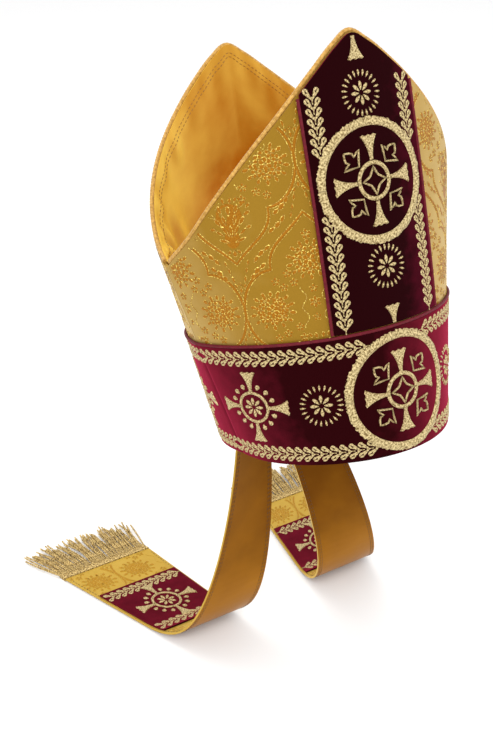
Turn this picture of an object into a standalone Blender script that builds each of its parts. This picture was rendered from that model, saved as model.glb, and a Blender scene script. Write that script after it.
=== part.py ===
"""A bishop's mitre: two stiffened brocade panels that rise as horns, a velvet band round the head,
a velvet titulus up each panel, a satin lining that crosses between the horns, and two fringed
lappets that hang from the rim at the back. Metres, +Z up, the front towards -Y."""

from math import pi, radians
from types import SimpleNamespace

import bmesh
import bpy
import numpy as np
from mathutils import Matrix, Vector
from mathutils.geometry import interpolate_bezier

# The wall, measured over the panels' outer faces
RIM_ROUND = 0.5864
TIP_ROUND = 0.7666
RIM_DEPTH = 0.2008
TIP_DEPTH = 0.1728
DEPTH_SWELL = 0.0134
HEIGHT = 0.3035
NOTCH_HEIGHT = 0.1564
LEAN_BACK = 15.38

# How much sooner the wall turns at its centre and seam than between them
RIM_TURN = 0.155
TIP_TURN = -0.034

# Cloth thicknesses, and the gap that is kept between two layers
PANEL_WALL = 0.0025
LINING_WALL = 0.0012
VELVET_WALL = 0.0014
LAPPET_WALL = 0.0018
GAP = 0.0003

# Band, titulus and pipings
BAND_HEIGHT = 0.0947
TITULUS_WIDTH = 0.0942
VELVET_PIPING = 0.0024
EDGE_PIPING = 0.0034

# The soft valley between the horns
VALLEY_DIP = 0.028
VALLEY_END = 0.983
FOLD_DEPTH = 0.007

# Lappets: their length is measured from the rim to the fringe's head
LAPPET_TAB = 0.018
LAPPET_DROP = 0.2125
LAPPET_RUN_LENGTH = 0.119
LAPPET_WIDTH = 0.0369
LAPPET_SPREAD = 0.0925
LAPPET_SWING = 0.0641
LAPPET_APART = 0.002
PATCH_LENGTH = 0.080
PATCH_FROM_END = 0.042
PATCH_INSET = 0.002
FRINGE_HEAD = 0.0085
FRINGE_LENGTH = 0.052
FRINGE_THICK = 0.0034

# The horn's edge: share of the panel's half width, share of the rise from notch to tip
EDGE = SimpleNamespace(
    across=[0.0, 0.0704, 0.1686, 0.3074, 0.4923, 0.674, 0.8133, 1.0],
    up=[1.0, 0.95, 0.85, 0.70, 0.50, 0.30, 0.15, 0.0])

# A lappet's fall as one Bezier curve: share of its reach behind the rim, share of its drop
FALL = SimpleNamespace(back=[0.0, 0.013, -0.84, 0.165], down=[0.0, -0.026, 1.0, 1.0])

# Soft folds of the lining: share of the half width, share of the height, spread of each, depth share
FOLDS = [
    {"across": 0.55, "up": 0.52, "wide": 0.060, "tall": 0.17, "deep": 0.45},
    {"across": 0.72, "up": 0.62, "wide": 0.050, "tall": 0.20, "deep": 0.70},
    {"across": 0.85, "up": 0.60, "wide": 0.040, "tall": 0.26, "deep": 1.00},
]

# Locks of the fringe, from the inner edge outwards: share of its length, share that it leans outwards
LOCKS = [
    {"long": 0.74, "lean": -0.06},
    {"long": 0.90, "lean": -0.02},
    {"long": 0.83, "lean": 0.03},
    {"long": 1.00, "lean": 0.05},
    {"long": 0.88, "lean": 0.10},
    {"long": 0.97, "lean": 0.12},
    {"long": 0.84, "lean": 0.18},
    {"long": 0.98, "lean": 0.22},
    {"long": 0.91, "lean": 0.28},
    {"long": 1.00, "lean": 0.33},
    {"long": 0.86, "lean": 0.40},
    {"long": 0.93, "lean": 0.48},
]
LOCK_FILL = 0.84
LOCK_END = 0.6
LOCK_STEPS = 3
LOCK_RISE = 0.10

# Finishes: slot, base colour, roughness and how metallic each one is
FINISHES = [
    {"slot": "gold_brocade", "colour": (0.55, 0.33, 0.06), "rough": 0.42, "metal": 0.25},
    {"slot": "gold_satin", "colour": (0.72, 0.42, 0.09), "rough": 0.35, "metal": 0.0},
    {"slot": "burgundy_velvet", "colour": (0.17, 0.01, 0.035), "rough": 0.85, "metal": 0.0},
    {"slot": "gold_bullion", "colour": (0.62, 0.47, 0.20), "rough": 0.40, "metal": 0.4},
]

# Mesh steps: columns and rows of each sheet, and points along each line
WALL_LEVELS = 25
ARC_STEPS = 84
ARC_END = 1.05
PANEL_GRID = (16, 9)
LINING_GRID = (15, 10)
BAND_GRID = (16, 3)
TITULUS_GRID = (4, 10)
LAPPET_COLUMNS = 3
FALL_STEPS = 17
PATCH_STEPS = 5
END_STEPS = 2
FALL_POINTS = 40
BAND_PIPING_POINTS = 33
TITULUS_PIPING_POINTS = 14
EDGE_PIPING_POINTS = 45
CORD_ROUNDNESS = 1
HALVINGS = 40
PROBE = 0.0005

# Powers that crowd the mesh towards a tip or a valley, and round the valley off
TIP_CROWDING = 1.2
LINING_CROWDING = 1.1
VALLEY_CROWDING = 1.6
VALLEY_ROUNDING = 3


def mix(low, high, share):
    return low + (high - low) * share


def half_width(up):
    """Length of the wall from its centre line to its side seam at one height."""
    return mix(RIM_ROUND, TIP_ROUND, up / HEIGHT) / 4


def half_depth(up):
    """How far the wall stands before the middle of the mitre at its centre line."""
    share = up / HEIGHT
    return (mix(RIM_DEPTH, TIP_DEPTH, share) + 2 * DEPTH_SWELL * share * (1 - share)) / 2


def arc(turn, evenness):
    """A quarter of the wall's outline with unit length: it turns through an angle by the seam, and no
    further than straight back."""
    share = np.linspace(0, ARC_END, ARC_STEPS)
    heading = turn * (share + evenness * np.sin(2 * pi * share) / (2 * pi))
    heading = np.minimum(heading, pi / 2)
    step = share[1]
    middle = (heading[1:] + heading[:-1]) / 2
    x = np.concatenate([[0], np.cumsum(np.cos(middle)) * step])
    y = np.concatenate([[0], np.cumsum(np.sin(middle)) * step])
    return share, x, y


def section(up):
    """The outline at one height, turned just enough for its seam to reach the middle of the mitre."""
    evenness = mix(RIM_TURN, TIP_TURN, up / HEIGHT)
    low = 0.1
    high = pi
    for _ in range(HALVINGS):
        turn = (low + high) / 2
        share, x, y = arc(turn, evenness)
        reach = np.interp(1.0, share, y) * half_width(up)
        if reach > half_depth(up):
            high = turn
        else:
            low = turn
    return share, x * half_width(up), y * half_width(up) - half_depth(up)


SECTIONS = [section(level) for level in np.linspace(0, HEIGHT, WALL_LEVELS)]


def wall_face(across, up):
    """A point on the front panel's outer face, at a share of its half width and a height."""
    level = min(max(up / HEIGHT, 0.0), 1.0) * (WALL_LEVELS - 1)
    lower = min(int(level), WALL_LEVELS - 2)
    corners = []
    for share, x, y in SECTIONS[lower:lower + 2]:
        corners.append(Vector((np.interp(abs(across), share, x), np.interp(abs(across), share, y), up)))
    point = corners[0].lerp(corners[1], level - lower)
    point.z = up
    point.x *= -1 if across < 0 else 1
    return point


def square_to(face, first, second):
    """The way a face looks, from two small steps on it."""
    along = face(first + PROBE, second) - face(first - PROBE, second)
    beside = face(first, second + PROBE) - face(first, second - PROBE)
    return along.cross(beside).normalized()


def wall(across, up, out=0.0):
    """A point that far outside the front panel's face."""
    return wall_face(across, up) + square_to(wall_face, across, up) * out


def smooth(places, values, place):
    """A smooth curve through a table's rows."""
    slopes = np.gradient(values, places)
    row = int(np.clip(np.searchsorted(places, place) - 1, 0, len(places) - 2))
    width = places[row + 1] - places[row]
    t = (place - places[row]) / width
    start = (1 + 2 * t) * (1 - t) ** 2 * values[row] + t * (1 - t) ** 2 * width * slopes[row]
    end = t * t * (3 - 2 * t) * values[row + 1] + t * t * (t - 1) * width * slopes[row + 1]
    return start + end


def horn_top(across):
    """Height of the horn's edge at a share of the panel's half width."""
    places = np.concatenate([-np.array(EDGE.across[:0:-1]), EDGE.across])
    values = np.concatenate([EDGE.up[:0:-1], EDGE.up])
    share = smooth(places, values, float(np.clip(across, -1, 1)))
    return mix(NOTCH_HEIGHT, HEIGHT, share)


def top_at(distance):
    """Height of the horn's edge straight above a distance from the panel's centre line."""
    low = NOTCH_HEIGHT
    high = HEIGHT
    for _ in range(HALVINGS):
        up = (low + high) / 2
        if horn_top(distance / half_width(up)) > up:
            low = up
        else:
            high = up
    return low


def beside_horn_edge(across, out, rise):
    """A point raised square from the horn's edge, along the wall."""
    here = wall(across, horn_top(across), out)
    ahead = wall(across + PROBE, horn_top(across + PROBE), out)
    behind = wall(across - PROBE, horn_top(across - PROBE), out)
    along = (ahead - behind).normalized()
    outward = square_to(wall_face, across, horn_top(across))
    return here + outward.cross(along) * rise


def seam_share(up):
    """Share of the half width at which the panel's inner corner just keeps clear of the other panel."""
    outward = square_to(wall_face, 1.0, up)
    clear = GAP + PANEL_WALL * abs(outward.y)
    return 1 - clear / outward.x / half_width(up)


def finish(slot, colour, rough, metal):
    material = bpy.data.materials.new(slot)
    material.use_nodes = True
    shader = material.node_tree.nodes["Principled BSDF"]
    shader.inputs["Base Color"].default_value = (*colour, 1.0)
    shader.inputs["Roughness"].default_value = rough
    shader.inputs["Metallic"].default_value = metal
    return material


def place(name, data, material, parent, turned=False):
    """Put a piece into the model, turned round to the back when it belongs there."""
    data.materials.append(material)
    piece = bpy.data.objects.new(name, data)
    bpy.data.collections["bishop_mitre"].objects.link(piece)
    piece.parent = parent
    piece.rotation_euler.z = pi if turned else 0.0
    return piece


def thicken(piece, thickness):
    """Give an open sheet its cloth thickness, behind the face that was modelled."""
    solid = piece.modifiers.new("Cloth", "SOLIDIFY")
    solid.thickness = thickness
    solid.offset = -1
    solid.use_even_offset = True


def mirror(piece, axes):
    flip = piece.modifiers.new("Mirror", "MIRROR")
    flip.use_axis = axes
    flip.merge_threshold = 0.0001
    flip.use_clip = True


def sheet_mesh(name, point, grid):
    """A grid whose points are laid on a surface: point() takes shares across and along it."""
    mesh = bpy.data.meshes.new(name)
    shape = bmesh.new()
    bmesh.ops.create_grid(shape, x_segments=grid[0], y_segments=grid[1], size=0.5)
    for vertex in shape.verts:
        vertex.co = point(vertex.co.x + 0.5, vertex.co.y + 0.5)
    shape.to_mesh(mesh)
    shape.free()
    mesh.shade_smooth()
    return mesh


def cord(name, points, diameter, material, parent, closed=False, turned=False):
    """A round piping along a line of points."""
    curve = bpy.data.curves.new(name, "CURVE")
    curve.dimensions = "3D"
    curve.bevel_depth = diameter / 2
    curve.bevel_resolution = CORD_ROUNDNESS
    curve.use_fill_caps = not closed
    line = curve.splines.new("POLY")
    line.points.add(len(points) - 1)
    for target, source in zip(line.points, points):
        target.co = (*source, 1.0)
    line.use_cyclic_u = closed
    return place(name, curve, material, parent, turned)


def panel(name, material, parent, turned):
    """The stiffened brocade wall from the rim to the horn's edge. Half is modelled and mirrored."""
    def point(u, v):
        across = u ** TIP_CROWDING
        up = mix(GAP * 3, horn_top(across), v)
        return wall(across * seam_share(up), up)

    piece = place(name, sheet_mesh(name, point, PANEL_GRID), material, parent, turned)
    mirror(piece, (True, False, False))
    thicken(piece, PANEL_WALL)
    return piece


def fold_depth(across, up):
    """How far the lining's folds stand off the panel."""
    depth = 0.0
    for fold in FOLDS:
        far = ((across - fold["across"]) / fold["wide"]) ** 2 + ((up - fold["up"]) / fold["tall"]) ** 2
        depth += fold["deep"] * FOLD_DEPTH * np.exp(-far)
    return depth


def lining(material, parent):
    """The satin inside both horns: it lies along each panel at the top, and leaves it to cross the
    valley. A quarter is modelled and mirrored."""
    seat = PANEL_WALL + GAP

    def point(u, v):
        across = VALLEY_END * u ** LINING_CROWDING
        valley = NOTCH_HEIGHT - VALLEY_DIP * (1 - across ** 2)
        up = mix(valley, horn_top(across) - GAP, v ** VALLEY_CROWDING)
        spot = wall(across, up, -seat - fold_depth(across, v))
        spot.y *= 1 - (1 - v) ** VALLEY_ROUNDING
        spot.x = 0.0 if u == 0 else spot.x
        return spot

    piece = place("lining", sheet_mesh("lining", point, LINING_GRID), material, parent)
    mirror(piece, (True, True, False))
    thicken(piece, LINING_WALL)
    return piece


def band(material, parent):
    """The velvet ring. A quarter is modelled and mirrored."""
    def point(u, v):
        spot = wall(u, BAND_HEIGHT * v, GAP + VELVET_WALL)
        spot.y = 0.0 if u == 1 else spot.y
        return spot

    piece = place("band", sheet_mesh("band", point, BAND_GRID), material, parent)
    mirror(piece, (True, True, False))
    thicken(piece, VELVET_WALL)
    return piece


def band_piping(material, parent):
    """The cord round the band's top edge, seated on the panels."""
    up = BAND_HEIGHT + VELVET_PIPING / 2 + GAP
    places = np.linspace(-1, 1, BAND_PIPING_POINTS)
    front = [wall(across, up, VELVET_PIPING / 2 + GAP) for across in places]
    back = [Vector((-point.x, -point.y, point.z)) for point in front[1:-1]]
    return cord("band_piping", front + back, VELVET_PIPING, material, parent, closed=True)


def titulus_foot():
    """Height where the titulus and its pipings start, just above the band's piping."""
    return BAND_HEIGHT + VELVET_PIPING + 3 * GAP


def titulus(name, material, parent, turned):
    """The upright velvet strip on a panel's centre line."""
    def point(u, v):
        distance = u * TITULUS_WIDTH / 2
        up = mix(titulus_foot(), top_at(distance), v)
        return wall(distance / half_width(up), up, GAP + VELVET_WALL)

    piece = place(name, sheet_mesh(name, point, TITULUS_GRID), material, parent, turned)
    mirror(piece, (True, False, False))
    thicken(piece, VELVET_WALL)
    return piece


def titulus_piping(name, side, material, parent, turned):
    """The cord along one side of a titulus."""
    distance = TITULUS_WIDTH / 2 + VELVET_PIPING / 2 + GAP
    top = top_at(distance) - VELVET_PIPING / 2
    points = []
    for up in np.linspace(titulus_foot() + GAP, top, TITULUS_PIPING_POINTS):
        points.append(wall(side * distance / half_width(up), up, VELVET_PIPING / 2 + GAP))
    return cord(name, points, VELVET_PIPING, material, parent, turned=turned)


def edge_piping(name, material, parent, turned):
    """The satin cord that covers the raw edges of panel and lining round a horn."""
    middle = -(PANEL_WALL + GAP + LINING_WALL) / 2
    rise = EDGE_PIPING / 2 + GAP
    stop = 1 - (EDGE_PIPING + rise) / half_width(NOTCH_HEIGHT)
    points = []
    for share in np.linspace(-1, 1, EDGE_PIPING_POINTS):
        across = stop * np.sign(share) * abs(share) ** TIP_CROWDING
        points.append(beside_horn_edge(across, middle, rise))
    return cord(name, points, EDGE_PIPING, material, parent, turned=turned)


def tilt():
    """The mitre leans back on the head."""
    return Matrix.Rotation(-radians(LEAN_BACK), 3, "X")


def back_rim(x, up):
    """A point on the back panel's inner face, as it stands tilted on the head."""
    spot = wall(x / half_width(up), up, -PANEL_WALL - GAP)
    return tilt() @ Vector((spot.x, -spot.y, spot.z))


def lappet_route():
    """The lappet's fall from the rim and its run along the surface, as distances and points."""
    start = back_rim(0.0, 0.0)
    corners = []
    for back, down in zip(FALL.back, FALL.down):
        corners.append(Vector((0, start.y + LAPPET_RUN_LENGTH * back, start.z - LAPPET_DROP * down)))
    points = interpolate_bezier(*corners, FALL_POINTS)
    points.append(Vector((0, start.y + LAPPET_RUN_LENGTH, start.z - LAPPET_DROP)))
    steps = [(b - a).length for a, b in zip(points, points[1:])]
    return np.concatenate([[0], np.cumsum(steps)]), points


ROUTE_LENGTHS, ROUTE_POINTS = lappet_route()
LAPPET_LENGTH = float(ROUTE_LENGTHS[-1])


def lappet_side(share):
    """Distances of the lappet's inner and outer edges from the middle of the mitre."""
    inner = LAPPET_APART / 2 + LAPPET_SWING * share
    return inner, inner + mix(LAPPET_WIDTH, LAPPET_SPREAD, share)


def lappet_face(across, along):
    """A point on the left lappet's brocade face: share of its width, distance from the rim."""
    inner, outer = lappet_side(max(along, 0.0) / LAPPET_LENGTH)
    x = mix(inner, outer, across)
    if along < 0:
        return back_rim(x, -along) - tilt() @ Vector((0, GAP, 0))
    y = np.interp(along, ROUTE_LENGTHS, [point.y for point in ROUTE_POINTS])
    z = np.interp(along, ROUTE_LENGTHS, [point.z for point in ROUTE_POINTS])
    y += max(along - LAPPET_LENGTH, 0.0) - GAP
    hollow = max(1 - along / LAPPET_DROP, 0.0) ** 2
    curl = back_rim(x, 0.0) - back_rim(0.0, 0.0)
    return Vector((x, y, z)) + Vector((0, curl.y, curl.z)) * hollow


def lappet_point(side, across, along, out=0.0):
    """A point that far off the brocade face of either lappet. side is 1 for the left, -1 for the right."""
    spot = lappet_face(across, along) + square_to(lappet_face, across, along) * out
    return Vector((side * spot.x, spot.y, spot.z))


def patch_rows():
    """Distances from the rim of the velvet patch's cross lines."""
    end = LAPPET_LENGTH - PATCH_FROM_END
    return np.linspace(end - PATCH_LENGTH, end, PATCH_STEPS + 1)


def lappet_rows():
    """Distances from the rim of the lappet's cross lines, which the patch shares."""
    patch = patch_rows()
    fall = np.linspace(-LAPPET_TAB, patch[0], FALL_STEPS + 1)
    end = np.linspace(patch[-1], LAPPET_LENGTH, END_STEPS + 1)
    return np.concatenate([fall, patch[1:], end[1:]])


def lappet_sheet(name, side, inset, rows, out, thickness, material, parent):
    """A strip on a lappet, narrower by an inset share at each edge, through rows of cross lines."""
    places = np.linspace(0, 1, len(rows))

    def point(u, v):
        across = mix(inset, 1 - inset, u if side > 0 else 1 - u)
        return lappet_point(side, across, float(np.interp(v, places, rows)), out)

    grid = (LAPPET_COLUMNS, len(rows) - 1)
    piece = place(name, sheet_mesh(name, point, grid), material, parent)
    thicken(piece, thickness)
    return piece


def lappet(name, side, material, parent):
    return lappet_sheet(name, side, 0.0, lappet_rows(), 0.0, LAPPET_WALL, material, parent)


def lappet_patch(name, side, material, parent):
    inset = PATCH_INSET / LAPPET_SPREAD
    out = VELVET_WALL + GAP
    return lappet_sheet(name, side, inset, patch_rows(), out, VELVET_WALL, material, parent)


def fringe(name, side, material, parent):
    """The woven head at the lappet's end with its bullion locks, all one piece."""
    count = len(LOCKS)
    start = LAPPET_LENGTH + GAP
    width = LAPPET_SPREAD / count

    def column(number):
        lock = number // 2
        share = (1 - LOCK_FILL) / 2 if number % 2 == 0 else (1 + LOCK_FILL) / 2
        return (lock + share) / count

    mesh = bpy.data.meshes.new(name)
    shape = bmesh.new()
    bmesh.ops.create_grid(shape, x_segments=2 * count - 1, y_segments=1, size=0.5)
    feet = {}
    for vertex in shape.verts:
        number = round((vertex.co.x + 0.5) * (2 * count - 1))
        along = start + FRINGE_HEAD * (vertex.co.y + 0.5)
        if vertex.co.y > 0:
            feet[number] = vertex
        vertex.co = lappet_point(side, column(number), along, (FRINGE_THICK - LAPPET_WALL) / 2)

    for number, lock in enumerate(LOCKS):
        pair = [feet[2 * number], feet[2 * number + 1]]
        middle = (pair[0].co + pair[1].co) / 2
        half = (pair[1].co - pair[0].co) / 2
        edge = shape.edges.get(pair)
        for step in range(1, LOCK_STEPS + 1):
            grown = bmesh.ops.extrude_edge_only(shape, edges=[edge])["geom"]
            edge = next(item for item in grown if isinstance(item, bmesh.types.BMEdge))
            share = step / LOCK_STEPS
            reach = FRINGE_LENGTH * lock["long"] * share
            bow = LOCK_RISE * width * np.sin(pi * share) * (1 + number % 2)
            centre = middle + Vector((side * reach * lock["lean"], reach, bow))
            ends = sorted(edge.verts, key=lambda vertex: vertex.co.x * half.x)
            ends[0].co = centre - half * mix(1, LOCK_END, share)
            ends[1].co = centre + half * mix(1, LOCK_END, share)
    bmesh.ops.recalc_face_normals(shape, faces=shape.faces)
    if sum(face.normal.z for face in shape.faces) < 0:
        bmesh.ops.reverse_faces(shape, faces=shape.faces)
    shape.to_mesh(mesh)
    shape.free()
    piece = place(name, mesh, material, parent)
    thicken(piece, FRINGE_THICK)
    return piece


def build():
    for item in list(bpy.data.objects):
        bpy.data.objects.remove(item)
    group = bpy.data.collections.new("bishop_mitre")
    bpy.context.scene.collection.children.link(group)

    brocade, satin, velvet, bullion = [finish(**row) for row in FINISHES]

    crown = bpy.data.objects.new("crown", None)
    crown.rotation_euler.x = -radians(LEAN_BACK)
    group.objects.link(crown)

    lining(satin, crown)
    band(velvet, crown)
    band_piping(velvet, crown)
    for end, turned in (("front", False), ("back", True)):
        panel(f"{end}_panel", brocade, crown, turned)
        titulus(f"{end}_titulus", velvet, crown, turned)
        edge_piping(f"{end}_edge_piping", satin, crown, turned)
        for hand, side in (("left", 1), ("right", -1)):
            way = -side if turned else side
            titulus_piping(f"{end}_titulus_piping_{hand}", way, velvet, crown, turned)
    for hand, side in (("left", 1), ("right", -1)):
        lappet(f"lappet_{hand}", side, brocade, None)
        lappet_patch(f"lappet_patch_{hand}", side, velvet, None)
        fringe(f"fringe_{hand}", side, bullion, None)


build()
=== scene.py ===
# %% [markdown]
# A bishop's mitre is flat cloth work that opens to be worn: two stiffened panels, sewn up at the
# sides, rise into horns, a velvet band goes round the rim and a velvet strip climbs each panel.
# The solids already hold the true sizes. This lesson dresses them: it lays fine cloth over the
# same wall, sews raised gold embroidery flat as an embroiderer does, and then wraps it round.

# %% Load the solids
from math import cos, pi, radians, sin

import bpy
import numpy as np
from mathutils import Matrix, Vector
from mathutils.geometry import interpolate_bezier


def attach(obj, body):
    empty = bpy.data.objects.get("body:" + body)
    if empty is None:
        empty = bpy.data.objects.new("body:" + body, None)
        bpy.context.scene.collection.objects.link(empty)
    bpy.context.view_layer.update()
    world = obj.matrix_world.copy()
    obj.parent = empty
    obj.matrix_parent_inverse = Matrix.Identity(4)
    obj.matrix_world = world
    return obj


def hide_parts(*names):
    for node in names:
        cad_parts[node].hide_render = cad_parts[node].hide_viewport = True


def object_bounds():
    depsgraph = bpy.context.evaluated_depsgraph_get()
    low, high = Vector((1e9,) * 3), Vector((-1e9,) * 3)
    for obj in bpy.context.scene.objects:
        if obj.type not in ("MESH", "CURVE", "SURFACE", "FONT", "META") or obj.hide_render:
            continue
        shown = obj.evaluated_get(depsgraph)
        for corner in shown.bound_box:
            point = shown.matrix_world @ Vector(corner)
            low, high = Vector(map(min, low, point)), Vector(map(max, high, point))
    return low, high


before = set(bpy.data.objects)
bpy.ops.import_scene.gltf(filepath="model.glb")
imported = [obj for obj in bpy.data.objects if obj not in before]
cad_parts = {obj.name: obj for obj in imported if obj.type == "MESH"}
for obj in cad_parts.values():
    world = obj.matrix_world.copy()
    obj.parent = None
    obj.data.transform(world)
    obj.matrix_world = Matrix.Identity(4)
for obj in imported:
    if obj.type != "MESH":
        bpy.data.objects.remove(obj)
cad_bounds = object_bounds()
MM = 0.001


def rounded(box):
    """The corners of a box, to the nearest millimetre."""
    return [round(v, 3) for corner in box for v in corner]


print("solids:", len(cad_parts), "box:", rounded(cad_bounds))

# %% [markdown]
# The camera stands a little above the tips and to the wearer's right. The floor lies just under
# the lappets, which hang far below the rim of a mitre as it is worn. A pale floor, a white
# surround and three broad lamps give soft studio light. One hard lamp would be simpler, but it
# flattens velvet and burns out gold thread. The Standard view keeps the deep reds and golds,
# which the default film-like view would wash out.

# %% Camera, floor and light
CAMERA_PLACE = (-0.5127, -0.6813, 0.5195)
CAMERA_TURN = -32.28
CAMERA_RISE = 29.22
LENS = 58.55
FLOOR_SIZE = 12.0
FLOOR_CLEAR = 0.0004
LIT_SPOT = Vector((0, 0.05, 0.1))
SURROUND = 1.0

camera_data = bpy.data.cameras.new("camera")
camera_data.lens = LENS
camera = bpy.data.objects.new("camera", camera_data)
camera.location = CAMERA_PLACE
camera.rotation_euler = (radians(90 - CAMERA_RISE), 0, radians(CAMERA_TURN))
bpy.context.scene.collection.objects.link(camera)
bpy.context.scene.camera = camera


def lamp(name, place, size, power):
    """A soft square lamp that faces the middle of the mitre."""
    data = bpy.data.lights.new(name, "AREA")
    data.size = size
    data.energy = power
    item = bpy.data.objects.new(name, data)
    item.location = place
    item.rotation_euler = (Vector(place) - LIT_SPOT).to_track_quat("Z", "Y").to_euler()
    bpy.context.scene.collection.objects.link(item)


lamp("key", place=(-1.3, -1.1, 1.5), size=1.0, power=22)
lamp("fill", place=(1.6, -1.0, 0.9), size=1.4, power=11)
lamp("top", place=(-0.1, 0.9, 1.9), size=1.2, power=12)

world = bpy.data.worlds.new("studio")
world.use_nodes = True
world.node_tree.nodes["Background"].inputs["Color"].default_value = (1, 1, 1, 1)
world.node_tree.nodes["Background"].inputs["Strength"].default_value = SURROUND
bpy.context.scene.world = world
bpy.context.scene.view_settings.view_transform = "Standard"
print("lens:", LENS, "lamps:", len(bpy.data.lights))

# %% [markdown]
# Helpers for the bench. An operator acts on whatever is selected, so each job starts by letting go
# of everything else. A finished piece has its place in its mesh, as the solids do.

# %% Bench helpers
def pick(*items):
    """Select only these objects and make the first one active."""
    bpy.ops.object.select_all(action="DESELECT")
    for item in items:
        item.select_set(True)
    bpy.context.view_layer.objects.active = items[0]


def added(name):
    """Name the object that was just made."""
    item = bpy.context.object
    item.name = name
    item.data.name = name
    return item


def settle(item):
    """Put an object's place, turn and size into its mesh."""
    pick(item)
    bpy.ops.object.transform_apply(location=True, rotation=True, scale=True)


def apply_all(item):
    """Put every modifier into the mesh."""
    pick(item)
    for modifier in list(item.modifiers):
        bpy.ops.object.modifier_apply(modifier=modifier.name)


def join(name, items):
    """One object from several."""
    pick(*items)
    bpy.ops.object.join()
    item = added(name)
    settle(item)
    return item


def twin(item, x=0.0, y=0.0, turn=0.0, wide=1.0, long=1.0):
    """A copy with its own mesh, sized, turned and moved in the flat."""
    other = bpy.data.objects.new(item.name, item.data.copy())
    bpy.context.scene.collection.objects.link(other)
    size = Matrix.Diagonal((wide, long, 1, 1))
    other.data.transform(Matrix.Translation((x, y, 0)) @ Matrix.Rotation(turn, 4, "Z") @ size)
    return other


def drop(*items):
    for item in items:
        bpy.data.objects.remove(item)


# %% Mesh helpers
def points_of(item):
    flat = np.empty(len(item.data.vertices) * 3)
    item.data.vertices.foreach_get("co", flat)
    return flat.reshape(-1, 3)


def set_points(item, points):
    item.data.vertices.foreach_set("co", np.asarray(points, float).ravel())
    item.data.update()


def set_map(item, u, v):
    """Write the pattern map from two numbers at each point."""
    layer = item.data.uv_layers.active or item.data.uv_layers.new(name="UVMap")
    corner = np.empty(len(item.data.loops), int)
    item.data.loops.foreach_get("vertex_index", corner)
    layer.data.foreach_set("uv", np.stack([u[corner], v[corner]], -1).ravel())


def edit(item, where, operator, **settings):
    """Select points by a test, or by a yes or no for each, and run an edit-mode operator."""
    if callable(where):
        where = [bool(where(vertex.co)) for vertex in item.data.vertices]
    pick(item)
    bpy.ops.object.mode_set(mode="EDIT")
    bpy.ops.mesh.select_mode(type="VERT")
    bpy.ops.mesh.select_all(action="DESELECT")
    bpy.ops.object.mode_set(mode="OBJECT")
    item.data.vertices.foreach_set("select", where)
    bpy.ops.object.mode_set(mode="EDIT")
    operator(**settings)
    bpy.ops.object.mode_set(mode="OBJECT")


def wear(item, *finishes):
    """Give a piece its materials, in place of any that it had."""
    item.data.materials.clear()
    for finish in finishes:
        item.data.materials.append(finish)


def smooth(item, angle=50):
    pick(item)
    bpy.ops.object.shade_smooth_by_angle(angle=radians(angle))


def belongs(item, slot, *nodes):
    """Let a piece ride with the mitre, and stand for its solids. slot is not used."""
    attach(item, "root")
    if nodes:
        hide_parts(*nodes)
    print(item.name, "faces:", len(item.data.polygons))


print("mesh helpers ready")

# %% [markdown]
# The wall of the mitre bends but never stretches, so a place on it is a distance round from the
# panel's centre line and a height over the rim. These lines turn such a place into a point in
# space. With them, cloth and embroidery can be made flat on the bench and laid on afterwards.

# %% The shape of the wall
RIM_ROUND = 0.5864
TIP_ROUND = 0.7666
RIM_DEPTH = 0.2008
TIP_DEPTH = 0.1728
DEPTH_SWELL = 0.0134
HEIGHT = 0.3035
NOTCH_HEIGHT = 0.1564
LEAN_BACK = 15.38
RIM_TURN = 0.155
TIP_TURN = -0.034
PANEL_WALL = 0.0025
LINING_WALL = 0.0012
VELVET_WALL = 0.0014
LAPPET_WALL = 0.0018
GAP = 0.0003
PROBE = 0.0004
HALVINGS = 40
LEAST_TURN = 0.1
SHORT_OF_LAST = 1.001
EDGE_ACROSS = np.array([0.0, 0.0704, 0.1686, 0.3074, 0.4923, 0.674, 0.8133, 1.0])
EDGE_UP = np.array([1.0, 0.95, 0.85, 0.70, 0.50, 0.30, 0.15, 0.0])
LEVELS = np.linspace(0, HEIGHT, 25)
SHARES = np.linspace(0, 1.05, 84)
TILT = np.array(Matrix.Rotation(-radians(LEAN_BACK), 3, "X"))


def mix(low, high, share):
    return low + (high - low) * share


def half_width(up):
    return mix(RIM_ROUND, TIP_ROUND, np.asarray(up) / HEIGHT) / 4


def half_depth(up):
    share = up / HEIGHT
    return (mix(RIM_DEPTH, TIP_DEPTH, share) + 2 * DEPTH_SWELL * share * (1 - share)) / 2


def section(up):
    """The outline at one height, turned just enough for its seam to reach the middle."""
    evenness = mix(RIM_TURN, TIP_TURN, up / HEIGHT)
    low = LEAST_TURN
    high = pi
    for _ in range(HALVINGS):
        turn = (low + high) / 2
        heading = turn * (SHARES + evenness * np.sin(2 * pi * SHARES) / (2 * pi))
        heading = np.minimum(heading, pi / 2)
        middle = (heading[1:] + heading[:-1]) / 2
        x = np.concatenate([[0], np.cumsum(np.cos(middle)) * SHARES[1]]) * half_width(up)
        y = np.concatenate([[0], np.cumsum(np.sin(middle)) * SHARES[1]]) * half_width(up)
        if np.interp(1.0, SHARES, y) > half_depth(up):
            high = turn
        else:
            low = turn
    return x, y - half_depth(up)


SECTIONS = np.array([section(level) for level in LEVELS])
print("sections:", SECTIONS.shape)


# %% From a place on the wall to a point in space
def upright(distance, up):
    """Points on the front panel's face before the mitre leans back."""
    share = np.abs(distance) / half_width(up)
    column = np.clip(share / SHARES[1], 0, len(SHARES) - SHORT_OF_LAST)
    row = np.clip(up / LEVELS[1], 0, len(LEVELS) - SHORT_OF_LAST)
    c = column.astype(int)
    r = row.astype(int)
    spot = []
    for axis in (0, 1):
        low = mix(SECTIONS[r, axis, c], SECTIONS[r, axis, c + 1], column - c)
        high = mix(SECTIONS[r + 1, axis, c], SECTIONS[r + 1, axis, c + 1], column - c)
        spot.append(mix(low, high, row - r))
    return np.stack([spot[0] * np.where(distance < 0, -1, 1), spot[1], up], -1)


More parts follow.
